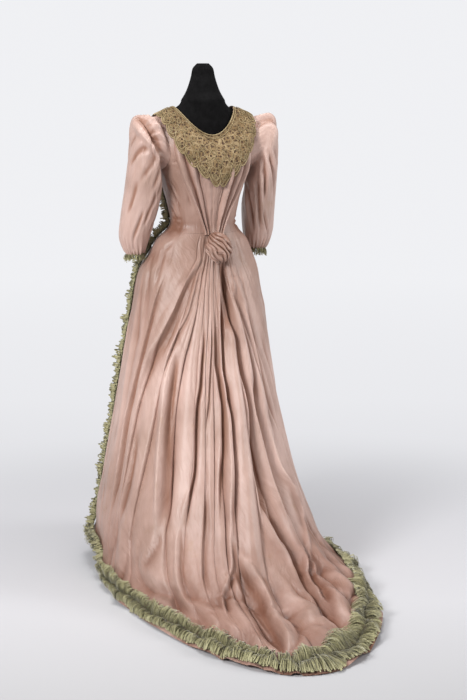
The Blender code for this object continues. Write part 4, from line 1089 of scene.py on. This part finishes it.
def shell_cloth(node, edges, levels, columns, silk, seed, turned=("top", "bottom", "sides")):
    """One panel of the bodice and skirt between two seams, drawn in along both of them."""
    start, end = edges
    share = np.linspace(0.0, 1.0, columns)[None, :]
    angle = start[:, None] * (1 - share) + end[:, None] * share
    level = np.broadcast_to(levels[:, None], angle.shape)
    width = np.radians(end - start)[:, None] * section("side", levels)[:, None]
    to_seam = np.minimum(share, 1 - share) * width
    rise = panel_rise(angle, level, seed) * ease(to_seam, 0.0, 0.03)
    rise -= SEAM_DIP * np.exp(-((to_seam / 0.0025) ** 2))
    puckers = cloud(level * 26, seed, seed)
    rise += SEAM_DIP * np.exp(-(((to_seam - 0.006) / 0.005) ** 2)) * puckers
    grid = shell_point(angle, level) + shell_normal(angle, level) * rise[..., None]
    grid[..., 2] = np.maximum(grid[..., 2], PANEL_REST)
    # Painted shade in the folds, from the cloth's hollowness; the silk is also darker over the hips.
    hips = ease(level, 7.6, 9.0) * (1 - ease(level, 12, 16))
    shade = hollowness(grid, grid_normals(grid)) + 0.30 * hips
    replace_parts(cloth(f"silk_{node}", grid, silk, turned=turned, shade=shade), node)


def build_panels(silk):
    """The front, side and centre back panels of the bodice and skirt."""
    levels = rows_by_length(85.0, 0.0, HEM - 0.02, 190)
    front, back = seam_angles("front_seam", levels), seam_angles("back_seam", levels)
    hole_front, hole_back = (seam_angles(edge, levels) for edge in ("armhole_front", "armhole_back"))
    middle = np.zeros_like(front)
    plan = (
        ("front_left", middle, front),
        ("side_front_left", front, hole_front),
        ("side_back_left", hole_back, back),
        ("side_back_right", 360.0 - back, 360.0 - hole_back),
        ("side_front_right", 360.0 - hole_front, 360.0 - front),
        ("front_right", 360.0 - front, 360.0 - middle),
    )
    for number, (node, start, end) in enumerate(plan):
        shell_cloth(node, (start, end), levels, 40, silk, 100 + 10 * number)
    levels = np.linspace(0.0, TRAIN_TOP - 0.003, 90)
    back = seam_angles("back_seam", levels)
    shell_cloth("centre_back", (back, 360.0 - back), levels, 60, silk, 170, ("top", "sides"))


def train_surface(across, level):
    """Points of the train with all its folds, the shell's outward direction, and the folds' painted shade.

    On the shell's point stand, in turn: the lapped pleats, whose crests lean over the valley
    beside them, thin wrinkles that follow the pleats, gathers below the knot, the placed folds, and
    crumples where the cloth lies on the floor.
    """
    across, level = np.broadcast_arrays(np.asarray(across, float), np.asarray(level, float))
    wander = 0.16 * cloud(across * 0.9, level * 0.6, 10) * off_seams(across, 1.0)
    placed = across + wander * np.sin(np.pi * (across % 1.0)) ** 2
    angle = train_angle(placed, level)
    point, outward = shell_point(angle, level), shell_normal(angle, level)
    thin = noise_folds(TRAIN_WRINKLES, across, level) * (0.45 + 0.55 * ease(level, 9.0, 14.0))
    by_knot = np.exp(-(((angle - 181.0) / 30.0) ** 2)) * (1 - ease(level, 9.4, 13.0))
    thin += noise_folds(KNOT_GATHERS, across, level) * by_knot
    folds, tone = train_folds(across, level)
    rise = train_rise(placed, level) + thin * off_seams(across, 0.5) + folds
    room = 0.0050 + 0.020 * ease(level, 9.2, 10.4) + 0.06 * ease(level, 10.9, 12.2)
    rise = np.maximum(rise * ease(level, 8.42, 9.1), -room)
    lying = ease(level, LEVEL["lower_calf"] - 0.5, LEVEL["instep"])
    x, y = point[..., 0], point[..., 1]
    flat = (0.006 + noise_folds(FLOOR_CRUMPLES, x, y)) * (0.35 + 0.65 * ease(level, 19, 21.5))
    rise += (flat + creases(FLOOR_CREASES, x, y)) * lying
    _, following, share = train_depths(placed, level)
    crest = np.exp(-(((share - 0.93) / 0.055) ** 2)) * following * ease(level, 9.0, 11.5)
    ahead = unit(shell_point(angle + 0.4, level) - point)
    point = point + outward * rise[..., None] + ahead * (0.42 * crest * (1 - lying))[..., None]
    point[..., 2] = np.maximum(point[..., 2], TRAIN_REST)
    return point, outward, tone


def build_train(silk):
    """The train below the knot, in one piece, with its columns closest along the valleys.

    Its painted shade is darkest in the folds, under the knot and low on the right; the middle is darker
    too.
    """
    levels = rows_by_length(182.0, TRAIN_TOP, HEM - 0.03, 285)
    even = np.linspace(0.0, 1.0, 23)[:-1]
    share = even + 0.10 * even * (1 - even) - 0.07 * np.sin(2 * np.pi * even)
    across = np.append((np.arange(SPACES)[:, None] + share).ravel(), float(SPACES))[None, :]
    level = levels[:, None]
    grid, _, tone = train_surface(across, level)
    # Painted shade from the folds, a painted shadow under the knot, a darker band down the middle that is
    # partly painted shade and partly staining, and painted shade low on the right.
    by_knot = np.exp(-(((across - 9.0) / 0.9) ** 2)) * ease(level, 9.3, 10.0)
    middle = np.exp(-(((across - 9.2) / 2.6) ** 2)) * ease(level, 8.4, 10.0)
    shade = 0.85 * hollowness(grid, grid_normals(grid), deep=0.007) + 0.95 * tone
    shade += 0.80 * by_knot * (1 - ease(level, 11.5, 14.5))
    shade += 0.30 * middle * (1 - 0.5 * ease(level, 18.0, 22.0))
    shade += 0.65 * ease(across, 8.8, 11.0) * ease(level, 16.5, 20.5)
    piece = cloth("silk_train", grid, silk, turned=("bottom", "sides"), shade=shade)
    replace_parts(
        piece, "train_left_side", "train_left", "train_middle", "train_right", "train_right_side"
    )


def build_drape(silk):
    """The drape from the shoulders to the knot: ridges that gather into two strands and a middle."""
    levels = np.linspace(1.6, 8.62, 110)[:, None]
    across = np.linspace(-1.0, 1.0, 190)[None, :]
    half, ridge = (read_between(DRAPE, DRAPE_COLUMNS, "level", name, levels) for name in DRAPE_COLUMNS[1:])
    angle = 180.0 + np.degrees(np.arcsin(across * half / section("side", levels)))
    level = np.broadcast_to(levels, angle.shape)
    moved = across + 0.035 * cloud(across * 4, level * 0.7, 21) * (1 - across**2)
    rise = np.zeros_like(angle)
    for place, high, width in DRAPE_RIDGES:
        off = np.abs(moved - place) / width
        rise += high * (1.3 * np.exp(-(off**2)) - 0.5 * np.exp(-(((off - 1.45) / 0.28) ** 2)))
    rise = rise * ridge / RIDGE_UNIT
    low = ease(level, 3.0, 7.5)
    rise += 0.0009 * cloud(across * 15, level * 0.6, 22) * (0.4 + 0.6 * low)
    rise -= 0.0022 * wrinkles(across * 5.5, level * 0.35, 24) * low
    rise += 0.0007 * cloud(across * 6 + level, level * 3.0, 23)
    inside = ease(1 - np.abs(across), 0.0, 0.05)
    lift = DRAPE_EDGE + (DRAPE_BODY + np.maximum(rise, -DRAPE_BODY)) * inside
    grid = shell_point(angle, level) + shell_normal(angle, level) * lift[..., None]
    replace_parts(cloth("silk_back_drape", grid, silk), "back_drape")


def knot_band(name, silk, first, last, wide, seed):
    """A band of silk laid round one side of the knot, thin at both ends, with four soft pleats.

    It runs from the first angle to the last, in degrees clockwise from the top, seen from behind.
    """
    along = np.linspace(0.0, 1.0, 70)
    sweep = np.radians(first + (last - first) * along)
    swelling = np.sin(np.pi * along)
    out = 1.04 - 0.10 * swelling
    rim = np.stack(
        [
            KNOT_CENTRE[0] - KNOT_HALF[0] * out * np.sin(sweep) * (1 + 0.25 * np.cos(sweep)),
            KNOT_CENTRE[1] + 0.006 + 0.006 * swelling,
            KNOT_CENTRE[2] + KNOT_HALF[2] * out * np.cos(sweep),
        ],
        axis=-1,
    )
    rim[:, 1] += KNOT_TILT * (KNOT_CENTRE[2] - rim[:, 2])
    girth = np.linspace(0, 2 * np.pi, 40, endpoint=False)[None, :]
    way = unit(np.gradient(rim, axis=0))[:, None, :]
    up = unit(np.cross(way, unit(rim - np.array(KNOT_CENTRE))[:, None, :]))
    away = np.cross(up, way)
    pleat = np.cos(4 * girth + 2.0 * cloud(along[:, None] * 4, 3.0, seed))
    radius = (wide * (0.45 + 0.55 * swelling))[:, None] * (1 + 0.20 * pleat)
    girdle = away * np.cos(girth)[..., None] + up * np.sin(girth)[..., None] * 0.8
    band = rim[:, None, :] + radius[..., None] * girdle
    # Painted shade between the band's pleats and painted light on their crests.
    closed_rings(name, band, silk, {"hollow": 0.1 - 0.6 * pleat})


def build_knot(silk):
    """The knot: an egg that narrows downwards, its folds wound from the upper left to the right.

    u and v are the place seen from behind, to the right and up, from -1 to 1. The rings run from
    the middle of its face to its rim and a little way back behind it. turned crosses the folds from
    the lower left, which stays a smooth lobe, to the upper right, where they are closest.
    """
    turn = np.linspace(0, 2 * np.pi, 180, endpoint=False)[None, :]
    facing, hidden = np.linspace(0.02, 1.0, 60), np.linspace(0.96, 0.10, 14)
    step = np.concatenate([facing, hidden])[:, None]
    front = (np.arange(len(step)) < len(facing))[:, None]
    reach = np.sin(step * np.pi / 2)
    u, v = reach * np.sin(turn), reach * np.cos(turn)
    u = u * (1 - 0.34 * np.clip(-v, 0, 1) ** 1.5) + 0.10 * np.clip(-v, 0, 1)
    depth = np.where(front, np.cos(step * np.pi / 2) ** 0.75, -0.25 * (1 - step))
    turned = np.arctan2(u + 0.28 * v, depth + 0.30) + 0.62 * v + 0.30 * v * v
    turned = turned + 0.18 * cloud(u * 2.2 + 5, v * 2.6 + 5, 31)
    wound = np.abs(np.sin(6.4 * turned + 1.3 * np.sin(1.9 * turned + 0.6) + 0.5))
    crease = (1 - wound) ** 1.8
    strength = 0.45 + 0.55 * ease(turned, -0.9, -0.1)
    fold = (0.0040 - 0.0100 * crease) * strength * ease(depth, -0.05, 0.35)
    fold -= 0.0030 * wrinkles(turned * 4.5, v * 2.0, 32) * front
    fold += 0.0022 * cloud(turned * 2.2, v * 2.5, 33) * front
    swell = 1 + fold / 0.060
    wide, deep, high = (half * body for half, body in zip(KNOT_HALF, KNOT_BODY))
    x = KNOT_CENTRE[0] - wide * u * swell
    z = KNOT_CENTRE[2] + high * v * swell
    tilt = KNOT_TILT * (KNOT_CENTRE[2] - z)
    y = KNOT_CENTRE[1] + np.maximum(deep * depth + fold, -0.018) + tilt
    # Painted shade in the knot's creases, and the knot darker towards its top and paler towards its bottom.
    shade = 1.4 * crease * strength * front + 0.50 * ease(v, 0.0, 0.9) - 0.20 * ease(-v, 0.1, 0.8)
    tone = {"hollow": np.clip(shade, -1, 1)}
    knot = closed_rings("silk_knot", np.stack([x, y, z], axis=-1), silk, tone)
    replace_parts(knot, "knot")
    knot_band("silk_knot_band_left", silk, 262.0, 188.0, 0.0080, 34)
    knot_band("silk_knot_band_right", silk, 95.0, 140.0, 0.0062, 35)


def along_rings(rings, at):
    """Rings of points read between the given ones by a smooth curve through them."""
    last = len(rings) - 1
    i = np.clip(np.floor(at).astype(int), 0, last - 1)
    f = (at - i)[:, None, None]
    before, after = rings[np.maximum(i - 1, 0)], rings[np.minimum(i + 2, last)]
    here, following = rings[i], rings[i + 1]
    bend = (following - before) / 2, (after - here) / 2
    return (
        (2 * f**3 - 3 * f**2 + 1) * here
        + (f**3 - 2 * f**2 + f) * bend[0]
        + (3 * f**2 - 2 * f**3) * following
        + (f**3 - f**2) * bend[1]
    )


def sleeve_shape(turn):
    """A smooth sleeve of the left arm: rings from just outside the armhole down to the cuff."""
    middle, reach = (SHOULDER + UNDERARM) / 2, (UNDERARM - SHOULDER) / 2
    level = middle - reach * ARMHOLE_EASE * np.cos(turn)
    angle = section("side_seam", level) + ARMHOLE_HALF_DEG * ARMHOLE_EASE * np.sin(turn)
    rings = [shell_point(angle, level) + shell_normal(angle, level) * 0.0005]
    turn = turn[:, None]
    for outer_x, outer_z, inner_x, inner_z, middle_y, half_depth in SLEEVE:
        centre = np.array([(outer_x + inner_x) / 2, middle_y, (outer_z + inner_z) / 2])
        half = np.array([(outer_x - inner_x) / 2, 0.0, (outer_z - inner_z) / 2])
        rings.append(centre + half * np.cos(turn) + np.array([0.0, half_depth, 0.0]) * np.sin(turn))
    return along_rings(np.stack(rings), np.linspace(0.0, len(SLEEVE), 150))


def sleeve_grid(hand):
    """A sleeve with gathers at both ends and its creases, and how dark each crease's painted shade is.

    around is the share of the way round the arm from its outer edge over the back, and drop the
    metres down from the armhole. It is made for the left arm whichever hand it is for.
    """
    loop = np.linspace(0, 2 * np.pi, 150, endpoint=False)
    grid = sleeve_shape(loop)
    outward = grid_normals(grid, ring=True)
    around = loop[None, :] / (2 * np.pi)
    drop = length_along(grid[:, 0])[:, None]
    seed = {"left": 41, "right": 51}[hand]
    head = 1 - ease(drop, 0.01, 0.13)
    foot = ease(drop, drop[-1] - 0.085, drop[-1] - 0.01)
    wander = 0.12 * cloud(np.cos(loop) * 3 + 9, drop * 9, seed)
    over = np.exp(-((np.sin(np.pi * (around - 0.04)) / 0.42) ** 2))
    gathers = np.cos(2 * np.pi * (HEAD_GATHERS * around + wander))
    rise = 0.0018 * gathers * head * ease(drop, 0.0, 0.02) * over
    rise += 0.0026 * np.cos(2 * np.pi * (END_GATHERS * around + 2 * wander)) * foot
    rise += 0.0022 * cloud(np.cos(loop) * 1.8 + 8, np.sin(loop) * 1.8 + drop * 2.5, seed + 1)
    slant = drop * (9 if hand == "left" else 2)
    rise -= 0.0022 * wrinkles(np.cos(loop) * 3.2 + slant + 8, np.sin(loop) * 3.2 + drop * 2, seed + 2)
    rise -= 0.0040 * wrinkles(around * 26, drop * 5, seed + 3) * foot
    upper = 1 - ease(drop, 0.08, 0.24)
    rise -= 0.0040 * wrinkles(around * 9 + drop * 13, drop * 4, seed + 4) * upper * over
    placed = creases(SLEEVE_CREASES[hand], around * SLEEVE_ROUND, drop)
    rise = (rise + placed) * ease(drop, 0.0, 0.012)
    return grid + outward * rise[..., None], np.clip(-placed / 0.006, 0, 1)


def mirrored(grid):
    """The same grid on the wearer's right, its columns turned round to face outwards."""
    return (grid * np.array([-1.0, 1.0, 1.0]))[:, ::-1]


def build_sleeves(silk):
    """Both sleeves. Returns the rings at their ends, which the ruches hang from."""
    ends = {}
    for hand in ("left", "right"):
        grid, dark = sleeve_grid(hand)
        if hand == "right":
            grid, dark = mirrored(grid), dark[:, ::-1]
        # Painted shade in the folds and, deeper, in the creases; paler paints light over the whole sleeve,
        # most over the right one, which the lamps leave in shade.
        paler, darker = {"left": (0.05, 1.1), "right": (0.60, 0.85)}[hand]
        hollow = hollowness(grid, grid_normals(grid, ring=True), ring=True)
        shade = 0.8 * hollow + darker * dark - paler
        piece = cloth(f"silk_sleeve_{hand}", grid, silk, ring=True, shade=shade)
        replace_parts(piece, f"sleeve_{hand}")
        ends[hand] = grid[-1]
    return ends


def between_points(grid, row, left, share):
    """Points or directions of a grid, read between its rows and between two columns."""
    low = np.clip(np.floor(row).astype(int), 0, len(grid) - 2)
    down = (row - low)[..., None]
    upper = grid[low, left] * (1 - share) + grid[low, left + 1] * share
    lower = grid[low + 1, left] * (1 - share) + grid[low + 1, left + 1] * share
    return upper * (1 - down) + lower * down


def pleat_row(band, outward, side, layer, pitch, high, seed, random):
    """One row of a ruche's pleats: their points, their shades and their places on the cloth.

    side is 1 or -1 for pleats that leave the band's middle row to one of its edges, and 0 for
    pleats that hang from its first row. Each is a strip folded down its middle that rises, opens
    and droops. Neighbours bunch together: their height, length and lean follow smooth noise along
    the band, with a little chance for each.
    """
    rows = len(band)
    line = band[rows // 2 if side else 0]
    length = length_along(line)
    count = int(length[-1] / pitch)
    t = np.linspace(0.0, 1.0, PLEAT_STEPS)[None, :]
    at = (np.arange(count) + random.uniform(0.05, 0.95, count)) * length[-1] / count
    bunch = cloud(at / BUNCHES["height"], side * 3 + 7.5, seed)
    swell = cloud(at / BUNCHES["reach"], side * 5 + 8.5, seed + 1)
    tall = high * (1 + 0.65 * bunch) * random.uniform(0.50, 1.25, count) * ROW_HEIGHTS[layer]
    reach = (0.96 + 0.26 * swell) * random.uniform(0.76, 1.10, count) * (1 - 0.08 * layer)
    if side == 1:
        reach = reach * 0.95
    lean = 1.5 * cloud(at / BUNCHES["lean"], side * 4 + 6.5, seed + 2)
    lean = lean + random.normal(0.0, 0.7, count)
    tilt = random.normal(0.0, 0.30, count)
    share = t * reach[:, None]
    slant = ((band[0 if side == 1 else -1] - line) * unit(np.gradient(line, axis=0))).sum(-1)
    along = at[:, None] + lean[:, None] * pitch * t - np.interp(at, length, slant)[:, None] * share
    if side == 0:
        row = share * (rows - 1)
    else:
        wander = 0.80 * cloud(at / BUNCHES["line"], 1.5, seed + 3)[:, None] * (1 - t)
        row = rows // 2 * (1.0 - side * share) + wander
    index = np.interp(along, length, np.arange(len(length)))
    left = np.clip(np.floor(index).astype(int), 0, len(length) - 2)
    over = (index - left)[..., None]
    base = between_points(band, row, left, over)
    out = unit(between_points(outward, np.clip(row, 0, rows - 1), left, over))
    way = unit(line[left + 1] - line[left])
    hump = np.sin(np.pi * np.clip(0.10 + 0.68 * t, 0, 1)) - 0.28 * t**3
    spine = base + out * (0.0010 + tall[:, None] * hump)[..., None]
    half = pitch * (0.34 + 0.50 * t) * random.uniform(0.6, 1.15, (count, 1))
    fold = half * random.uniform(0.4, 1.1, (count, 1))
    edges = np.array([-1.0, 0.0, 1.0])
    wide = edges * half[..., None]
    rise = fold[..., None] * (1 - np.abs(edges)) + wide * tilt[:, None, None]
    strip = spine[:, :, None] + way[:, :, None] * wide[..., None] + out[:, :, None] * rise[..., None]
    strip[..., 2] = np.maximum(strip[..., 2], PLEAT_REST)
    # Each pleat has its own random tone, partly shared with its bunch.
    tone = random.uniform(-0.20, 0.20, (count, 1, 1)) + 0.14 * bunch[:, None, None]
    # Painted shade and light: darker at the root, paler towards the tip, and darker on the shorter rows and
    # on the side that runs to the band's last row.
    shade = 0.30 + 0.50 * t[..., None] ** 0.6 + tone - 0.06 * layer - 0.06 * (side == -1)
    # Painted light along each pleat's middle fold and painted shade at its edges; the frayed tip is paler
    # still.
    shade = shade + np.array([-0.12, 0.10, -0.12]) + 0.20 * (t[..., None] > 0.95)
    down = np.broadcast_to(0.02 * t[..., None], strip.shape[:3])
    laid = np.stack([along[..., None] + wide, down], axis=-1)
    return strip.reshape(-1, 3), shade.reshape(-1), laid.reshape(-1, 2)


def frill(place, side_name, band, outward, green, pitch, high, seed, sides=(1, -1)):
    """A ruche: rows of short frayed pleats that stand out from a gathered line.

    band holds rows of points from one edge of the ruche to the other, and pitch is the distance
    from pleat to pleat. The same seeded draws run through all rows.
    """
    random = np.random.default_rng(seed)
    rows = [
        pleat_row(band, outward, side, layer, pitch, high, seed, random)
        for side in sides
        for layer in range(len(ROW_HEIGHTS))
    ]
    points, shades, laid = (np.concatenate(part) for part in zip(*rows))
    corners = PLEAT_STEPS * 3
    faces = grid_faces(PLEAT_STEPS, 3) + np.arange(0, len(points), corners)[:, None, None]
    name = f"ruche_{place}_{side_name}"
    attributes = {"shade": shades}
    piece = make_mesh(name, points, faces.reshape(-1, 4), green, laid, attributes)
    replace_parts(piece, f"{place}_ruche_{side_name}")


def build_hem_ruches(green):
    """The ruches along the hem: over the train, and over the sides of the robe to its open front.

    Where the train lies on the floor the rows of the band spread. They are drawn together towards
    the hem, so that the band is nowhere much wider than HEM_RUCHE_WIDTH.
    """
    levels = np.linspace(*HEM_RUCHE_LEVELS, 7)[:, None]
    across = np.linspace(0.0, float(SPACES), 1500)[None, :]
    band, _, _ = train_surface(across, levels)
    wide = np.linalg.norm(band[-1] - band[0], axis=-1)
    wide = np.convolve(np.pad(wide, 40, mode="edge"), np.ones(81) / 81, mode="valid")
    drawn = levels[-1] - (levels[-1] - levels) * np.minimum(1.0, HEM_RUCHE_WIDTH / wide)
    band, outward, _ = train_surface(across, drawn)
    outward = unit(outward + np.array([0.0, 0.0, 0.35]))
    frill("hem", "train", band, outward, green, 0.0025, 0.020, 61)
    for hand, first, last in (("left", 53.0, 91.0), ("right", 269.0, 307.0)):
        angle = np.linspace(first, last, 500)[None, :]
        band, outward = shell_point(angle, levels), shell_normal(angle, levels)
        frill("hem", hand, band, outward, green, 0.0027, 0.024, 62)


def build_front_ruches(green):
    """The ruches down the open front edges of the robe, narrow on the bodice."""
    levels = rows_by_length(52.0, 2.35, HEM - 0.05, 900)[None, :]
    width = 0.018 + 0.016 * ease(levels, UNDERARM, KNOT_LEVEL)
    share = np.linspace(0.0, 1.0, 5)[:, None]
    turn = section("front_seam", levels) + np.degrees((0.002 + share * width) / section("side", levels))
    for hand, sign in (("left", 1), ("right", -1)):
        band, outward = shell_point(sign * turn, levels), shell_normal(sign * turn, levels)
        frill("front", hand, band[::sign], outward[::sign], green, 0.0032, 0.021, 63)


def build_cuff_ruches(ends, green):
    """The ruches at the ends of the sleeves: pleats that hang from the last ring and flare."""
    for hand, rim in ends.items():
        rim = np.concatenate([rim, rim[:1]])
        away = unit(rim - rim[:-1].mean(axis=0))
        slope = np.array([0.15 if hand == "left" else -0.15, -0.20, -1.0])
        top = rim + np.array([0.0, 0.0, 0.004])
        drops = ((0.0, -0.0010), (0.010, 0.0010), (0.024, 0.0020))
        band = [top + slope * drop + away * flare for drop, flare in drops]
        outward = np.broadcast_to(away, (3, *away.shape))
        frill("cuff", hand, np.stack(band), outward, green, 0.0030, 0.0065, 71, sides=(0,))


def collar_depth(angle):
    """How far down the collar reaches at an angle, in levels."""
    return read_between(COLLAR, COLLAR_COLUMNS, "angle", "depth", np.abs(angle))


def collar_surface(angle, share, lift=0.0):
    """Points of the collar, share of the way from the neck to its edge, and its outward direction.

    angle runs from -180 to 180, with 0 at centre front. The collar rises over the drape behind.
    """
    angle, share = np.broadcast_arrays(np.asarray(angle, float), np.asarray(share, float))
    level = 0.02 + share * collar_depth(angle)
    behind = 1 - ease(180.0 - np.abs(angle), 62.0, 84.0)
    below = 0.0032 + 0.0088 * behind * ease(level, 0.6, 2.9)
    high = 0.0024 + (below - 0.0008) * ease(level, 0.0, 0.5)
    high += (0.0012 * cloud(angle / 5, level * 1.6, 81) + 0.0006) * ease(level, 0.2, 0.8)
    outward = shell_normal(angle, level)
    return shell_point(angle, level) + outward * (high + lift)[..., None], outward


def lobes(angle):
    """How far the scalloped edge reaches: 1 at the tip of a lobe, less in the notches."""
    wave = np.abs(np.sin(np.pi * (angle + 180.0) / LOBE_DEGREES))
    return 0.86 + 0.14 * wave**0.55


def lace_tapes():
    """The tapes that run round the collar and the rings of cord on each lobe, as flat ribbons."""
    turn = np.linspace(-180.0, 180.0, 1441)
    edge = lobes(turn)
    tapes = (
        (0.012, 22e-4),
        (0.090, 14e-4),
        (edge * 0.985, 22e-4),
        (edge**2 * 0.90, 14e-4),
        (0.50 + 0.05 * np.cos(np.radians(turn * 360.0 / LOBE_DEGREES)), 12e-4),
    )
    for shares, half_wide in tapes:
        path, outward = collar_surface(turn, shares, 0.0012)
        yield ribbons(path[None], outward[None], half_wide, TAPE_HALF_THICK)
    loop = np.linspace(0.0, 2 * np.pi, 25)[None, :]
    middles = np.arange(-180.0, 180.0, LOBE_DEGREES)[:, None]
    for shift, share, radius in LACE_RINGS:
        centre = middles + shift * LOBE_DEGREES
        here, beside, below = (
            collar_surface(centre + over, share + down)[0] for over, down in ((0, 0), (1, 0), (0, 0.05))
        )
        over = centre + radius * np.cos(loop) / np.linalg.norm(beside - here, axis=-1)
        down = share + radius * np.sin(loop) * 0.05 / np.linalg.norm(below - here, axis=-1)
        path, outward = collar_surface(over, down, 0.0014)
        yield ribbons(path, outward, CORD_HALF_WIDE, TAPE_HALF_THICK)


def build_collar(lace, tape):
    """The lace collar: a net with a scalloped edge, and on it the tapes and cords of the lace."""
    angle = np.linspace(-180.0, 180.0, 481)[None, :-1]
    share = np.linspace(0.0, 1.0, 34)[:, None]
    reach = 1 - (1 - lobes(angle)) * share**4
    grid, _ = collar_surface(angle, share * reach)
    level = share * collar_depth(angle)
    shade = 0.7 * (1 - ease(level, 0.1, 1.3)) + 0.25 * cloud(angle / 9, level * 1.2, 82)
    shade = np.maximum(shade, 0)
    net = cloth("lace_collar", grid, lace, ring=True, turned=("top",), shade=shade)
    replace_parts(net, "collar_back", "collar_front")
    blocks = list(lace_tapes())
    starts = np.cumsum([0] + [len(points) for points, _ in blocks[:-1]])
    points = np.concatenate([points for points, _ in blocks])
    faces = np.concatenate([faces + start for (_, faces), start in zip(blocks, starts)])
    make_mesh("lace_collar_tapes", points, faces, tape)


def build_form(cover):
    """The smooth upper part of the dress form, closed at the top, and what the gown hides of it."""
    turn = np.linspace(0, 2 * np.pi, 96, endpoint=False)
    angle = np.degrees(turn)
    circle = np.stack([np.sin(turn), -np.cos(turn), 0 * turn], axis=-1)
    radii, heights = np.array(NECK).T
    fine = np.linspace(heights[0], heights[-1], 24)
    flat_top = ((0.0060, heights[0]), (0.0120, heights[0]))
    profile = (*flat_top, *zip(smooth(heights[::-1], radii[::-1], fine), fine))
    rings = [circle * radius + np.array([0.0, NECK_Y, height]) for radius, height in profile]
    body = []
    for level in np.linspace(0.0, 11.0, 60):
        gap = 0.0032 + 0.0048 * ease(level, 0.6, 1.6) + 0.0060 * ease(level, 8.5, 10.0)
        gap = gap + 0.020 * ease(level, 9.0, 10.2) * ease(-np.cos(turn), 0.2, 0.8)[:, None]
        body.append(shell_point(angle, level) - shell_normal(angle, level) * (CLOTH + gap))
    neck, neckline = rings[-1], body[0]
    for share in np.linspace(0.0, 1.0, 10)[1:-1]:
        rings.append(neck + (neckline - neck) * np.array([share**1.7, share**1.7, share]))
    body[-1][:, 2] = body[-1][:, 2].min()
    piece = closed_rings("form_cover", np.stack(rings + body), cover)
    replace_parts(piece, "form_body")


def floor_material():
    """A pale floor near the gown that fades into a painted glow further out, with painted shade towards the
    camera.
    """
    material = bpy.data.materials.new("studio_floor")
    material.use_nodes = True
    tree = material.node_tree
    shader, output = tree.nodes["Principled BSDF"], tree.nodes["Material Output"]
    shader.inputs["Roughness"].default_value = 0.75
    place = add_node(tree, "ShaderNodeTexCoord").outputs["Object"]
    ahead = add_node(tree, "ShaderNodeVectorMath", {0: place, 1: NEARER}, operation="DOT_PRODUCT")
    near = ranged(tree, ahead.outputs["Value"], (-7.0, 1.2), (0.0, 1.0))
    # Painted shade: the lit floor's colour darkens towards the camera.
    lit = ((0.80, (0.600, 0.596, 0.618)), (0.90, (0.590, 0.586, 0.606)), (1.0, (0.440, 0.437, 0.445)))
    tree.links.new(graded(tree, near, lit), shader.inputs["Base Color"])
    gap = add_node(tree, "ShaderNodeVectorMath", {0: place, 1: FLOOR_MIDDLE}, operation="DISTANCE")
    gap = gap.outputs["Value"]
    fade = ranged(tree, gap, (0.75, 2.2), (0.0, 1.0), interpolation_type="SMOOTHSTEP")
    # Painted light: further out the floor glows, in the backdrop's colour far off and with painted shade
    # towards the camera.
    far = (
        (0.0, BACKDROP),
        (0.55, (0.820, 0.823, 0.850)),
        (0.88, (0.700, 0.700, 0.728)),
        (1.0, (0.530, 0.530, 0.540)),
    )
    glow = add_node(tree, "ShaderNodeEmission", {"Color": graded(tree, near, far), "Strength": 1.0})
    inputs = {0: fade, 1: shader.outputs["BSDF"], 2: glow.outputs["Emission"]}
    blend = add_node(tree, "ShaderNodeMixShader", inputs)
    tree.links.new(blend.outputs["Shader"], output.inputs["Surface"])
    return material


def build_floor():
    """The floor: one square, 60 m wide."""
    mesh = bpy.data.meshes.new("studio_floor")
    half = 30.0
    corners = [(-half, -half, 0.0), (half, -half, 0.0), (half, half, 0.0), (-half, half, 0.0)]
    mesh.from_pydata(corners, [], [(0, 1, 2, 3)])
    mesh.materials.append(floor_material())
    hold("studio_floor", mesh)


def light_room():
    """Soft studio lamps, and a backdrop that lights the gown less than the camera sees."""
    world = bpy.data.worlds.new("studio")
    world.use_nodes = True
    tree = world.node_tree
    background = tree.nodes["Background"]
    background.inputs["Color"].default_value = (*BACKDROP, 1.0)
    seen = add_node(tree, "ShaderNodeLightPath").outputs["Is Camera Ray"]
    tree.links.new(ranged(tree, seen, (0.0, 1.0), (ROOM_LIGHT, 1.0)), background.inputs["Strength"])
    bpy.context.scene.world = world
    bpy.context.scene.view_settings.view_transform = "Standard"
    for name, place, size, power in LAMPS:
        lamp = bpy.data.lights.new(name, "AREA")
        lamp.energy, lamp.shape, lamp.size = power, "DISK", size
        holder = hold(name, lamp)
        holder.location = place
        holder.rotation_euler = (Vector(LAMP_AIM) - Vector(place)).to_track_quat("-Z", "Y").to_euler()


def place_camera():
    """The camera of the photo: behind the gown and to its left, looking slightly down."""
    camera = bpy.data.cameras.new("camera")
    camera.sensor_width = CAMERA["sensor_mm"]
    camera.lens = CAMERA["focal_length"] * CAMERA["sensor_mm"]
    holder = hold("camera", camera)
    turn, pitch = math.radians(CAMERA["turn_deg"]), math.radians(CAMERA["pitch_deg"])
    towards = Vector((math.sin(turn), math.cos(turn), 0.0))
    right = Vector((-math.cos(turn), math.sin(turn), 0.0))
    holder.location = towards * CAMERA["distance"] - right * CAMERA["aside"]
    holder.location.z = CAMERA["height"]
    forward = -towards * math.cos(pitch) - Vector((0.0, 0.0, math.sin(pitch)))
    holder.rotation_euler = forward.to_track_quat("-Z", "Y").to_euler()
    bpy.context.scene.camera = holder


def build_gown():
    """Every piece of the gown and of the form, with its material."""
    silk = rose_silk("rose_silk_plain", worn=0.55)
    drawn = rose_silk("rose_silk_drawn", pulled_across=60.0, wrinkle=0.0010, worn=0.40)
    pulled = rose_silk("rose_silk_pulled", pulled_across=60.0, wrinkle=0.0010)
    green = green_silk("sage_silk")
    build_panels(silk)
    build_train(silk)
    build_drape(drawn)
    build_knot(drawn)
    ends = build_sleeves(pulled)
    build_hem_ruches(green)
    build_front_ruches(green)
    build_cuff_ruches(ends, green)
    build_collar(gold_lace("lace_net"), lace_tape("lace_tape"))
    build_form(black_jersey("form_jersey"))
    enamel = painted_steel("stand_enamel")
    for node in ("form_pole", "form_base"):
        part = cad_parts[node]
        for spot in part.material_slots:
            spot.material = enamel


build_floor()
light_room()
place_camera()
build_gown()
